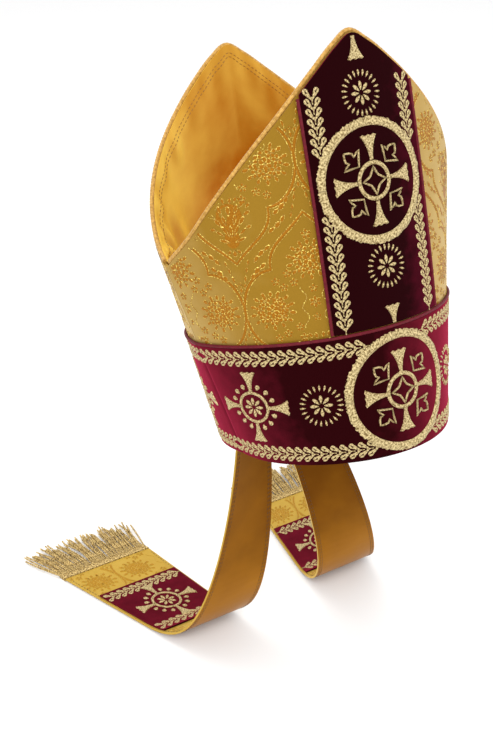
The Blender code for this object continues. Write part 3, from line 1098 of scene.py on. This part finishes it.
def small_cross(x, y):
    """The lesser cross: a ring round a flower, four arms and three dots between each two."""
    parts = [hoop(x, y, middle=12.0 * MM, half=1.2 * MM, high=0.9 * MM, segments=60)]
    parts += around("petal", x, y, count=8, radius=1.6 * MM)
    parts += around("arm", x, y, count=4, radius=13.1 * MM, size=0.9)
    for way in DOT_TURNS:
        parts.append(twin(stock["dot"], x - sin(way) * DOT_RING, y + cos(way) * DOT_RING, way))
    return parts


print("crosses ready, dots in the lesser one:", len(DOT_TURNS))

# %% [markdown]
# Laurel borders frame every velvet piece. In each, pairs of leaves spring from a stem and point
# ahead. An array modifier could repeat them, but a count that is fitted to each border's length
# keeps whole leaves at both ends. The finished embroidery is joined flat and laid on its velvet.

# %% Laurel, and sewing it on
LEAF_PITCH = 6.7
LEAF_TURN = 0.56
STEM_HALF = 2.6
STEM_RADIUS = 0.45


def laurel(start, end, skip=None):
    """A laurel border in millimetres between two places, its leaves pointing ahead. skip is a
    circle that it leaves out, under a medallion's ring."""
    start = np.array(start, float)
    end = np.array(end, float)
    long = np.linalg.norm(end - start)
    ahead = (end - start) / long
    turn = float(np.arctan2(-ahead[0], ahead[1]))
    parts = []
    count = int(long // LEAF_PITCH)
    for number in range(count):
        spot = start + ahead * (number * long / count)
        middle = spot + ahead * LEAF_PITCH / 2
        if skip is not None and np.hypot(middle[0] - skip[0], middle[1] - skip[1]) < skip[2]:
            continue
        for side in (1, -1):
            parts.append(twin(stock["leaf"], spot[0] * MM, spot[1] * MM, turn + side * LEAF_TURN))
        stem = [spot - ahead * STEM_HALF, spot, spot + ahead * STEM_HALF]
        parts.append(stroke("stem", stem, STEM_RADIUS, closed=False))
    return parts


def sew(name, parts, surface):
    """Join flat embroidery and lay it on its velvet."""
    item = join(name, parts)
    spot = points_of(item)
    set_points(item, surface(spot[:, 0], spot[:, 1], spot[:, 2]))
    wear(item, thread)
    belongs(item, "gold_bullion")
    return item


print("laurel ready, leaves at", LEAF_PITCH, "mm")

# %% Embroidery on tituli and band
MEDALLION_UP = 201.5
ROSETTES_UP = (140.1, 262.4)
TOP_ARM_UP = 301.3
BORDER_IN = 8.6
BORDER_TOP_CLEAR = 6
BAND_MOTIF_UP = 47.0
BAND_ROSETTE_OUT = 62.6
BAND_CROSS_OUT = 115.6
BAND_BORDER_IN = 9.0
BAND_BORDER_START = 18
BORDER_CLEAR = 2
RING_CLEAR = 45
half = TITULUS_WIDTH / MM / 2
band_borders = (BAND_BORDER_IN, BAND_HEIGHT / MM - BAND_BORDER_IN + 0.6)
for end in ("front", "back"):
    back = end == "back"
    parts = medallion(0, MEDALLION_UP * MM, outer=44 * MM, reach=32.0 * MM)
    for up in ROSETTES_UP:
        parts += rosette(0, up * MM)
    parts.append(twin(stock["arm"], 0, TOP_ARM_UP * MM, pi, 1.0, 0.92))
    parts.append(twin(stock["arm"], 0, TITULUS_FOOT + GAP, 0, 0.95, 0.76))
    for side in (1, -1):
        x = side * (half - BORDER_IN)
        top = float(top_over(x * MM)) / MM - BORDER_TOP_CLEAR
        parts += laurel((x, TITULUS_FOOT / MM + BORDER_CLEAR), (x, top),
                        (0, MEDALLION_UP, RING_CLEAR))
    sew(f"{end}_embroidery", parts, lambda x, y, z: on_wall(x, y, VELVET_FACE + z, back))

    parts = medallion(0, BAND_MOTIF_UP * MM, outer=45 * MM, reach=30.9 * MM)
    for side in (1, -1):
        parts += rosette(side * BAND_ROSETTE_OUT * MM, BAND_MOTIF_UP * MM)
        parts += small_cross(side * BAND_CROSS_OUT * MM, BAND_MOTIF_UP * MM)
        for up in band_borders:
            far = float(half_width(up * MM)) / MM - BORDER_CLEAR
            parts += laurel((side * BAND_BORDER_START, up), (side * far, up),
                            (0, BAND_MOTIF_UP, RING_CLEAR))
    sew(f"{end}_band_embroidery", parts, lambda x, y, z: on_wall(x, y, VELVET_FACE + z, back))

# %% [markdown]
# The brocade's figures. The lattice is made of lobed cells that touch their neighbours, with posies
# in the lobes and leafy sprigs between the cells. One cell is drawn flat, copied over the cloth and
# cut to the panel's edge, as a weaver repeats one drawing. Its threads float about 0.3 mm above
# the ground weave, because light on their rims is what makes a brocade glitter.

# %% Petals and flowers
CELL_WIDE = 103.0
CELL_TALL = 208.0
FLOAT = 0.28 * MM
FLOWER_EYE = 0.4
LATTICE = [(-57.0, 122.0), (-108.5, 226.0)]


def floret_petal():
    """A petal one millimetre long and wide: a dark float with a sparkling rim. Its foot is at
    the origin."""
    bpy.ops.object.select_all(action="DESELECT")
    bpy.ops.mesh.primitive_circle_add(vertices=8, radius=0.5 * MM, fill_type="NGON")
    item = added("floret_petal")
    resize(item, lambda co: co.y < -0.2 * MM, 0.55)
    edit(item, every, bpy.ops.mesh.inset, thickness=0.10 * MM, depth=0)
    slide(item, lambda co: np.hypot(co.x, co.y) < 0.45 * MM, z=FLOAT)
    slide(item, every, y=0.5 * MM, z=0.02 * MM)
    item.data.materials.append(figure)
    item.data.materials.append(lurex)
    for face in item.data.polygons:
        face.material_index = 0 if len(face.vertices) > 4 else 1
    return item


petal = floret_petal()


def petals(rows):
    """Petals from rows of place, length, width and turn. A row off the middle is mirrored."""
    out = []
    for x, y, long, wide, turn in rows:
        for side in ((1, -1) if x or turn % 180 else (1,)):
            out.append(twin(petal, side * x * MM, y * MM, radians(-side * turn), wide, long))
    return out


def flower(x, y, count, long, wide):
    """A ring of petals in millimetres, with their feet just off its centre."""
    out = []
    for number in range(count):
        turn = 2 * pi * number / count
        out.append(twin(petal, (x - sin(turn) * FLOWER_EYE) * MM, (y + cos(turn) * FLOWER_EYE) * MM,
                        turn, wide, long))
    return out


def moved(items, x, y, turn=0.0):
    """The same things, turned and then moved in millimetres."""
    for item in items:
        place = Matrix.Translation((x * MM, y * MM, 0)) @ Matrix.Rotation(turn, 4, "Z")
        item.data.transform(place)
    return items


print("a petal's faces:", len(petal.data.polygons))

# %% Posies, basket, sprig and outline
POSY_TIPS = [(0, 9.6, 5.0, 3.4, 0), (4.0, 9.4, 5.2, 3.0, 26), (8.4, 7.0, 5.4, 3.2, 50),
             (10.8, 2.8, 5.8, 3.0, 76), (11.0, -2.0, 6.2, 3.2, 100), (9.4, -6.2, 5.4, 2.8, 126),
             (5.0, -8.8, 5.2, 3.0, 154), (0, -9.8, 5.6, 3.2, 180)]
POSY_RING = [(4.6, 7.2), (8.8, 1.6), (6.6, -5.2)]
BASKET = [(0, -20, 5.4, 3.8, 180), (2.4, -19.5, 4.4, 2.4, 150), (1.5, -14.6, 9.0, 2.6, 72),
          (1.6, -10.5, 10.0, 2.6, 30), (0, -11, 9.0, 3.0, 0), (5.0, -10.0, 8.0, 2.2, 52),
          (6.2, -3, 8.0, 3.2, 36), (2.8, -2.4, 8.0, 2.8, 14), (9.8, 3.8, 6.4, 3.0, 62),
          (12.5, 8.6, 5.0, 2.6, 44), (4.6, 5.6, 7.4, 3.2, 20), (8.4, 9.4, 6.0, 2.8, 36),
          (10.4, -5, 5.0, 2.8, 76), (0, 4, 8, 3.6, 0), (1.9, 12.4, 5.4, 2.6, 12),
          (5.2, 13.6, 4.6, 2.4, 30)]
SPRIG = [(8.6, 23.5, 6.0, 3.6, 30), (11.4, 27.6, 7.0, 4.4, 42), (15.6, 31.4, 6.4, 3.4, 52),
         (12.6, 36.2, 6.4, 3.2, 34), (15.8, 40.0, 7.0, 3.8, 44), (20.2, 43.6, 7.0, 3.0, 52),
         (3.8, 22.0, 6.0, 2.2, 12), (0, 14.4, 4.8, 2.6, 0), (6.0, 29.0, 5.0, 2.0, 10),
         (7.6, 34.6, 5.0, 1.9, 14), (2.2, 18.0, 4.6, 2.0, 24)]
SCATTER = [(20.5, 16.2), (13, 19), (26, 21), (22, -18), (13, -14), (29, -21), (11, -22),
           (17, 26)]
GLINT_IN = 1.4
LOBE_SIDE = (28, 30)
LOBE_HANDLES = ((30, 47), (13, 53))
LOBE_TOP = (0, 67.5)
SIDE_BULGE = 23.5
OVAL_POINTS = 14
OVAL_UP = 0.1


def cell_outline():
    """The lobed edge of a cell, from its right side round to its right side again."""
    turn = np.linspace(0, pi / 2, 10)
    side = np.stack([LOBE_SIDE[0] + SIDE_BULGE * np.cos(turn), LOBE_SIDE[1] * np.sin(turn)], -1)
    lobe = [Vector((x, y, 0)) for x, y in (LOBE_SIDE, *LOBE_HANDLES, LOBE_TOP)]
    upper = np.array([point[:2] for point in interpolate_bezier(*lobe, 11)])
    quarter = np.concatenate([side[:-1], upper])
    top = np.concatenate([quarter, (quarter * [-1, 1])[::-1][1:]])
    return np.concatenate([top, (top * [1, -1])[::-1][1:-1]])


outline = cell_outline()
glint = outline * (1 - GLINT_IN / np.linalg.norm(outline, axis=1, keepdims=True))


def flat_line(name, rows, radius, colour, closed=True):
    """A line of thread in millimetres, pressed down to the height of the figures."""
    item = stroke(name, rows, radius, closed)
    set_points(item, points_of(item) * [1, 1, FLOAT / (radius * MM)])
    item.data.materials.append(colour)
    return item


def patch_of(x, y, wide, tall):
    """A thin oval of figure thread, which lies under a bunch of petals."""
    turn = np.linspace(0, 2 * pi, OVAL_POINTS + 1)[:-1]
    corners = np.stack([x + wide / 2 * np.cos(turn), y + tall / 2 * np.sin(turn),
                        np.full(OVAL_POINTS, OVAL_UP)], -1) * MM
    mesh = bpy.data.meshes.new("ground_patch")
    mesh.from_pydata(corners.tolist(), [], [list(range(OVAL_POINTS))])
    item = bpy.data.objects.new("ground_patch", mesh)
    bpy.context.scene.collection.objects.link(item)
    set_map(item, corners[:, 0], corners[:, 1])
    mesh.materials.append(figure)
    return item


def posy():
    """A dense bunch: a flower, seven more round it and leaf tips that stand out of them."""
    bunch = petals(POSY_TIPS) + flower(0, 0, 6, 5.0, 3.9) + flower(0, -7.4, 5, 3.9, 3.0)
    bunch.append(patch_of(0, 0.4, 22, 19))
    for x, y in POSY_RING:
        bunch += flower(x, y, 5, 4.0, 3.2) + flower(-x, y, 5, 4.0, 3.2)
    return bunch


print("outline points:", len(outline))

# %% One cell of the brocade
POSY_OUT = 31
POSY_UP = 34
BASKET_DOWN = 37
VINE_OUT = 7.5
VINE_SWING = 2.0
VINE_HALF = 15.5
VINE_SWEEP = 2.2
cell = [flat_line("cell_line", outline, 0.95, figure),
        flat_line("cell_glint", glint, 0.30, lurex),
        flat_line("cell_glint", outline * 2 - glint, 0.30, lurex)]
for x in (POSY_OUT, -POSY_OUT):
    cell += moved(posy(), x, 0)
cell += moved(posy(), 0, POSY_UP) + flower(0, 52, 5, 3.6, 2.6)
cell += moved(petals(BASKET) + [patch_of(0, 3.5, 19, 20), patch_of(0, -12, 11, 14)],
              0, -BASKET_DOWN)
for x, y in SCATTER:
    for side in (1, -1):
        cell += flower(side * x, y, 5, 3.1, 2.3)
vine = [(VINE_OUT + VINE_SWING * cos(3 * t), VINE_HALF * t / VINE_SWEEP)
        for t in np.linspace(-VINE_SWEEP, VINE_SWEEP, 22)]
for side in (1, -1):
    cell.append(flat_line("vine", [(side * x, y) for x, y in vine], 0.4, lurex, closed=False))
cell += flower(0, 3, 6, 4.2, 2.6) + flower(0, -8, 5, 3.0, 2.0) + flower(0, 13, 5, 3.0, 2.2)
cell += moved(petals(SPRIG), CELL_WIDE / 2, 0) + moved(petals(SPRIG), CELL_WIDE / 2, 0, pi)
cell += flower(CELL_WIDE / 2, 21, 4, 1.8, 1.3)
repeat = join("brocade_repeat", cell)
print("cell faces:", len(repeat.data.polygons))

# %% [markdown]
# The woven figures on the two panels. A real loom weaves them into the cloth, so they run off its
# edges and under the velvet. Here the cells are laid out flat, cut by a test of each point, and
# laid on the wall as the cloth is, which keeps their sizes true where it curves.

# %% Figures over the cloth
REACH_LEFT = 55
REACH_RIGHT = 105
REACH_UP = 68
FIGURE_SHARE = 0.98
FIGURE_IN = 0.0008
PANEL_AREA = ((-175, 98), (175, 300))


def figures(name, inside, surface, slot, area):
    """Copy the cell over an area of flat cloth, cut it to what inside() allows, and lay it on."""
    (left, low), (right, high) = area
    parts = []
    for x0, y0 in LATTICE:
        for column in range(-4, 5):
            for row in range(-3, 4):
                x = x0 + column * CELL_WIDE
                y = y0 + row * CELL_TALL
                across = left - REACH_RIGHT < x < right + REACH_LEFT
                if across and low - REACH_UP < y < high + REACH_UP:
                    parts.append(twin(repeat, x * MM, y * MM))
    item = join(name, parts)
    spot = points_of(item)
    edit(item, ~inside(spot[:, 0], spot[:, 1]), bpy.ops.mesh.delete, type="VERT")
    spot = points_of(item)
    set_map(item, spot[:, 0], spot[:, 1])
    set_points(item, surface(spot[:, 0], spot[:, 1], spot[:, 2]))
    belongs(item, slot)
    return item


def on_panel(x, y):
    """Whether a place on the flat panel shows between velvet and edge."""
    share = np.abs(x) / half_width(y)
    clear = (np.abs(x) > TITULUS_WIDTH / 2) & (y > BAND_HEIGHT)
    return clear & (share < FIGURE_SHARE) & (y < horn_top(share) - FIGURE_IN)


for end in ("front", "back"):
    figures(f"{end}_brocade_figures", on_panel, lambda x, y, z: on_wall(x, y, z, end == "back"),
            "gold_brocade", PANEL_AREA)

# %% [markdown]
# The lappets are two ribbons sewn inside the rim at the back. Each falls, turns and runs out along
# the table. Its route is the solids' own, so brocade, patch, embroidery and fringe all follow it.

# %% The lappets' route
LAPPET_TAB = 0.018
LAPPET_DROP = 0.2125
LAPPET_RUN_LENGTH = 0.119
LAPPET_WIDTH = 0.0369
LAPPET_SPREAD = 0.0925
LAPPET_SWING = 0.0641
LAPPET_APART = 0.002
FALL_BACK = [0.0, 0.013, -0.84, 0.165]
FALL_DOWN = [0.0, -0.026, 1.0, 1.0]
FALL_POINTS = 40


def back_rim(x, up):
    """Points on the back panel's inner face."""
    spot = off_wall(x, up, -PANEL_WALL - GAP)
    return lean(spot * [1, -1, 1])


rim = back_rim(0.0, 0.0)
corners = []
for share, down in zip(FALL_BACK, FALL_DOWN):
    corners.append(Vector((0, rim[1] + LAPPET_RUN_LENGTH * share, rim[2] - LAPPET_DROP * down)))
route = interpolate_bezier(*corners, FALL_POINTS)
route.append(Vector((0, rim[1] + LAPPET_RUN_LENGTH, rim[2] - LAPPET_DROP)))
route = np.array(route)
gone = gone_along(route)
LAPPET_LENGTH = float(gone[-1])


def lappet_width(along):
    return mix(LAPPET_WIDTH, LAPPET_SPREAD, np.maximum(along, 0) / LAPPET_LENGTH)


def lappet_face(across, along):
    """Points on the left lappet's brocade face: share of its width, distance from the rim."""
    inner = LAPPET_APART / 2 + LAPPET_SWING * (np.maximum(along, 0) / LAPPET_LENGTH)
    x = inner + lappet_width(along) * across
    held = np.minimum(x, RIM_ROUND / 4)
    tab = back_rim(held, np.maximum(-along, 0)) - TILT @ np.array([0, GAP, 0])
    curl = back_rim(held, np.zeros_like(x)) - rim
    hollow = np.maximum(1 - along / LAPPET_DROP, 0) ** 2
    y = np.interp(along, gone, route[:, 1]) + np.maximum(along - LAPPET_LENGTH, 0) - GAP
    z = np.interp(along, gone, route[:, 2])
    fall = np.stack([x, y + curl[:, 1] * hollow, z + curl[:, 2] * hollow], -1)
    return np.where((along < 0)[:, None], tab, fall)


def on_lappet(side, x, along, out=0.0):
    """Points over either lappet: distances from its centre line and from the rim, and height."""
    across = 0.5 + side * x / lappet_width(along)
    out = np.broadcast_to(out, across.shape)
    spot = lappet_face(across, along) + square_to(lappet_face, across, along) * out[:, None]
    return spot * [side, 1, 1]


print("lappet length from rim to fringe:", round(LAPPET_LENGTH, 4))

# %% [markdown]
# A lappet is lighter brocade with a satin back, and carries a velvet patch with a lesser cross
# between two laurel borders. It could be bent by a curve modifier, but the route above takes the
# ribbon and all that is sewn on it alike, so that nothing slides or sinks at the bend.

# %% Flat patterns of a lappet
PATCH_LENGTH = 0.080
PATCH_FROM_END = 0.042
PATCH_INSET = 0.002
PATCH_BORDER_IN = 0.0085
PATCH_BORDER_CLEAR = 4
RIBBON_END_IN = 0.001
RIBBON_SIDE_IN = 0.0012
RIBBON_AREA = ((-48, 0), (48, 345))
patch_end = LAPPET_LENGTH - PATCH_FROM_END
patch_start = patch_end - PATCH_LENGTH


def lappet_flat(u, v):
    along = mix(-LAPPET_TAB, LAPPET_LENGTH, v)
    return (u - 0.5) * lappet_width(along), along


def patch_flat(u, v):
    along = mix(patch_start, patch_end, v)
    return (u - 0.5) * (lappet_width(along) - 2 * PATCH_INSET), along


def on_ribbon(x, y):
    """Whether a place on the flat ribbon shows beside the patch and inside its edges."""
    off_patch = (y < patch_start) | (y > patch_end)
    inside = np.abs(x) < lappet_width(y) / 2 - RIBBON_SIDE_IN
    return off_patch & (y > 0) & (y < LAPPET_LENGTH - RIBBON_END_IN) & inside


# %% Lappets, patches and their embroidery
lappets = {}
for hand, side in (("left", 1), ("right", -1)):
    ribbon = cloth(f"{hand}_ribbon", (ribbon_ground, shaded_ribbon_satin), 30, 150, lappet_flat,
                   lambda x, y: on_lappet(side, x, y), LAPPET_WALL)
    belongs(ribbon, "gold_brocade", f"lappet_{hand}")
    patch = cloth(f"{hand}_patch", (lit_velvet,), 30, 30, patch_flat,
                  lambda x, y: on_lappet(side, x, y, VELVET_FACE), VELVET_WALL)
    belongs(patch, "burgundy_velvet", f"lappet_patch_{hand}")
    parts = small_cross(0, (patch_start + patch_end) / 2)
    for along in (patch_start + PATCH_BORDER_IN, patch_end - PATCH_BORDER_IN):
        far = float(lappet_width(along)) / MM / 2 - PATCH_BORDER_CLEAR
        parts += laurel((-side * far, along / MM), (side * far, along / MM))
    sewn = sew(f"{hand}_patch_embroidery", parts,
               lambda x, y, z: on_lappet(side, x, y, VELVET_FACE + z))
    woven = figures(f"{hand}_ribbon_figures", on_ribbon, lambda x, y, z: on_lappet(side, x, y, z),
                    "gold_brocade", RIBBON_AREA)
    woven.data.materials[0] = ribbon_figure
    woven.data.materials[1] = ribbon_ground
    lappets[hand] = (ribbon, [patch, sewn, woven])

# %% [markdown]
# Bullion fringe: two layers of two-ply twisted cords under a woven head. Each cord is two plies
# wound round each other, which no texture can fake at its loose ends. Chance is seeded, so that
# every run lays the cords in the same way.

# %% Fringes
FRINGE_HEAD = 0.0085
FRINGE_LENGTH = 0.052
FRINGE_THICK = 0.0034
LOCK_LONG = [0.74, 0.90, 0.83, 1.00, 0.88, 0.97, 0.84, 0.98, 0.91, 1.00, 0.86, 0.93]
LOCK_LEAN = [-0.06, -0.02, 0.03, 0.05, 0.10, 0.12, 0.18, 0.22, 0.28, 0.33, 0.40, 0.48]
CORDS = 44
CORD_STEPS = 44
PLY_RADIUS = 0.00055
PLY_PITCH = 0.0042
HEAD_WEAVE = 0.00035
CORD_BOW = 0.0034
LAYER_APART = 0.0016
CORD_RISE = 0.0009
CORD_SINK = 0.0002
WEAVE_ACROSS = 0.0016
WEAVE_ALONG = 0.0028


def cord_paths(side, rng):
    """The cords' middle lines, in two layers, the upper set half a pitch across."""
    paths = []
    centres = np.linspace(0, 1, len(LOCK_LONG))
    t = np.linspace(0, 1, CORD_STEPS)
    for layer in (0, 1):
        for number in range(CORDS):
            share = (number + 0.25 + 0.5 * layer + rng.uniform(-0.2, 0.2)) / CORDS
            share = np.clip(share, 0.01, 0.99)
            long = FRINGE_LENGTH * np.interp(share, centres, LOCK_LONG) * rng.uniform(0.78, 1.0)
            sway = np.interp(share, centres, LOCK_LEAN) + rng.uniform(-0.12, 0.12)
            width = LAPPET_SPREAD * share
            foot = on_lappet(side, np.array([side * (width - LAPPET_SPREAD / 2)]),
                             np.array([LAPPET_LENGTH + 0.6 * FRINGE_HEAD]))[0]
            bow = rng.uniform(-1, 1) * CORD_BOW
            rise = ((layer - 0.45) * LAYER_APART
                    + CORD_RISE * np.sin(pi * t) * rng.uniform(0.2, 1.3))
            x = foot[0] + side * sway * long * t + bow * np.sin(pi * t)
            y = foot[1] + (long + 0.4 * FRINGE_HEAD) * t
            paths.append(np.stack([x, y, foot[2] + rise - CORD_SINK], -1))
    return paths


def two_ply(path):
    """Two plies wound round a line of points."""
    first, second = tube_frames(path, False)
    turn = 2 * pi * gone_along(path)[:, None] / PLY_PITCH
    aside = (first * np.cos(turn) + second * np.sin(turn)) * PLY_RADIUS * 0.85
    return [path + aside, path - aside]


def head_flat(u, v):
    return (u - 0.5) * LAPPET_SPREAD, LAPPET_LENGTH + mix(GAP, FRINGE_HEAD, v)


def head_space(side, x, y):
    """The fringe's woven head, thicker than the ribbon and ribbed both ways."""
    rib = np.sin(2 * pi * x / WEAVE_ACROSS) * np.sin(2 * pi * (y - LAPPET_LENGTH) / WEAVE_ALONG)
    return on_lappet(side, x, y, (FRINGE_THICK - LAPPET_WALL) / 2 + HEAD_WEAVE * rib)


for hand, side in (("left", 1), ("right", -1)):
    rng = np.random.default_rng(11 + side)
    plies = [ply for path in cord_paths(side, rng) for ply in two_ply(path)]
    cords = tubes(f"{hand}_fringe_cords", plies, PLY_RADIUS, 5)
    wear(cords, bullion)
    head = cloth(f"{hand}_fringe_head", (bullion,), 240, 14, head_flat,
                 lambda x, y: head_space(side, x, y), FRINGE_THICK)
    belongs(cords, "gold_bullion", f"fringe_{hand}")
    belongs(head, "gold_bullion")
    ribbon, others = lappets[hand]

# %% [markdown]
# Machine stitching holds the edges. On the lining it is a double row just inside the piping. On a
# lappet a darker thread shows as one row near each long edge of the brocade, and as two rows
# underneath. Short threads read better than a dashed texture, since they catch the light.

# %% Rows on the lining
STITCH = 0.0038
STITCH_SHARE = 0.55
STITCH_RADIUS = 0.00026
STITCH_CLEAR = 0.0001
LINING_ROWS = (0.0060, 0.0090)
ROW_HALF = 0.93
INWARD_STEP = 0.004
BETWEEN_HORNS = lean(np.array([[0.0, 0.0, 0.30]]))


def row_of(line):
    return stitches("row", line, STITCH, STITCH_SHARE, STITCH_RADIUS)


def lining_inset(share, inset):
    """How far along the lining's run a place lies that distance inside the horn's edge."""
    edge = horn_top(share) + LINING_TUCK
    steep = np.gradient(edge, share * half_width(edge))
    valley = NOTCH_HEIGHT - VALLEY_DIP * (1 - share ** 2)
    left = (edge - inset * np.sqrt(1 + steep ** 2) - valley) / (edge - valley)
    return np.clip(left, 0.3, 1) ** (1 / VALLEY_CROWDING)


rows = []
share = np.linspace(-ROW_HALF, ROW_HALF, 260)
across = share * LINING_HALF
for run in (-1, 1):
    for inset in LINING_ROWS:
        place = run * lining_inset(share, inset) * LINING_RUN
        line = lining_space(across, place)
        down = lining_space(across, place - run * INWARD_STEP * LINING_RUN)
        beside = lining_space(across + PROBE, place)
        way = np.cross(beside - line, down - line)
        way /= np.linalg.norm(way, axis=1, keepdims=True)
        way *= np.sign(np.sum(way * (BETWEEN_HORNS - line), axis=1, keepdims=True))
        rows.append(row_of(line + way * (LINING_WALL + STITCH_CLEAR)))
lining_stitches = join("lining_stitches", rows)
wear(lining_stitches, stitch_thread)
belongs(lining_stitches, "gold_satin")

# %% Rows on the lappets
RIBBON_ROWS = [(0.0022, STITCH_CLEAR), (0.0022, -LAPPET_WALL - STITCH_CLEAR),
               (0.0042, -LAPPET_WALL - STITCH_CLEAR)]
along = np.linspace(0.004, LAPPET_LENGTH - 0.002, 220)
for hand, side in (("left", 1), ("right", -1)):
    rows = []
    for edge in (1, -1):
        for inset, out in RIBBON_ROWS:
            x = edge * (lappet_width(along) / 2 - inset)
            rows.append(row_of(on_lappet(side, x, along, out)))
    ribbon_stitches = join(f"{hand}_ribbon_stitches", rows)
    wear(ribbon_stitches, dark_thread)
    belongs(ribbon_stitches, "gold_brocade")

# %% [markdown]
# The floor is for the picture only and is no part of the mitre. It is one plain sheet, so wide
# that its edges stay out of the picture. The shapes that the stitches and figures were copied
# from have done their work, and are cleared away.

# %% Floor, and clear the bench
bpy.ops.object.select_all(action="DESELECT")
bpy.ops.mesh.primitive_plane_add(size=FLOOR_SIZE, location=(0, 0, cad_bounds[0][2] - FLOOR_CLEAR))
floor = added("floor")
pale = finish("pale_floor", Base_Color=(0.9, 0.9, 0.9, 1), Roughness=0.7)
wear(floor, pale)
drop(petal, repeat, *stock.values())
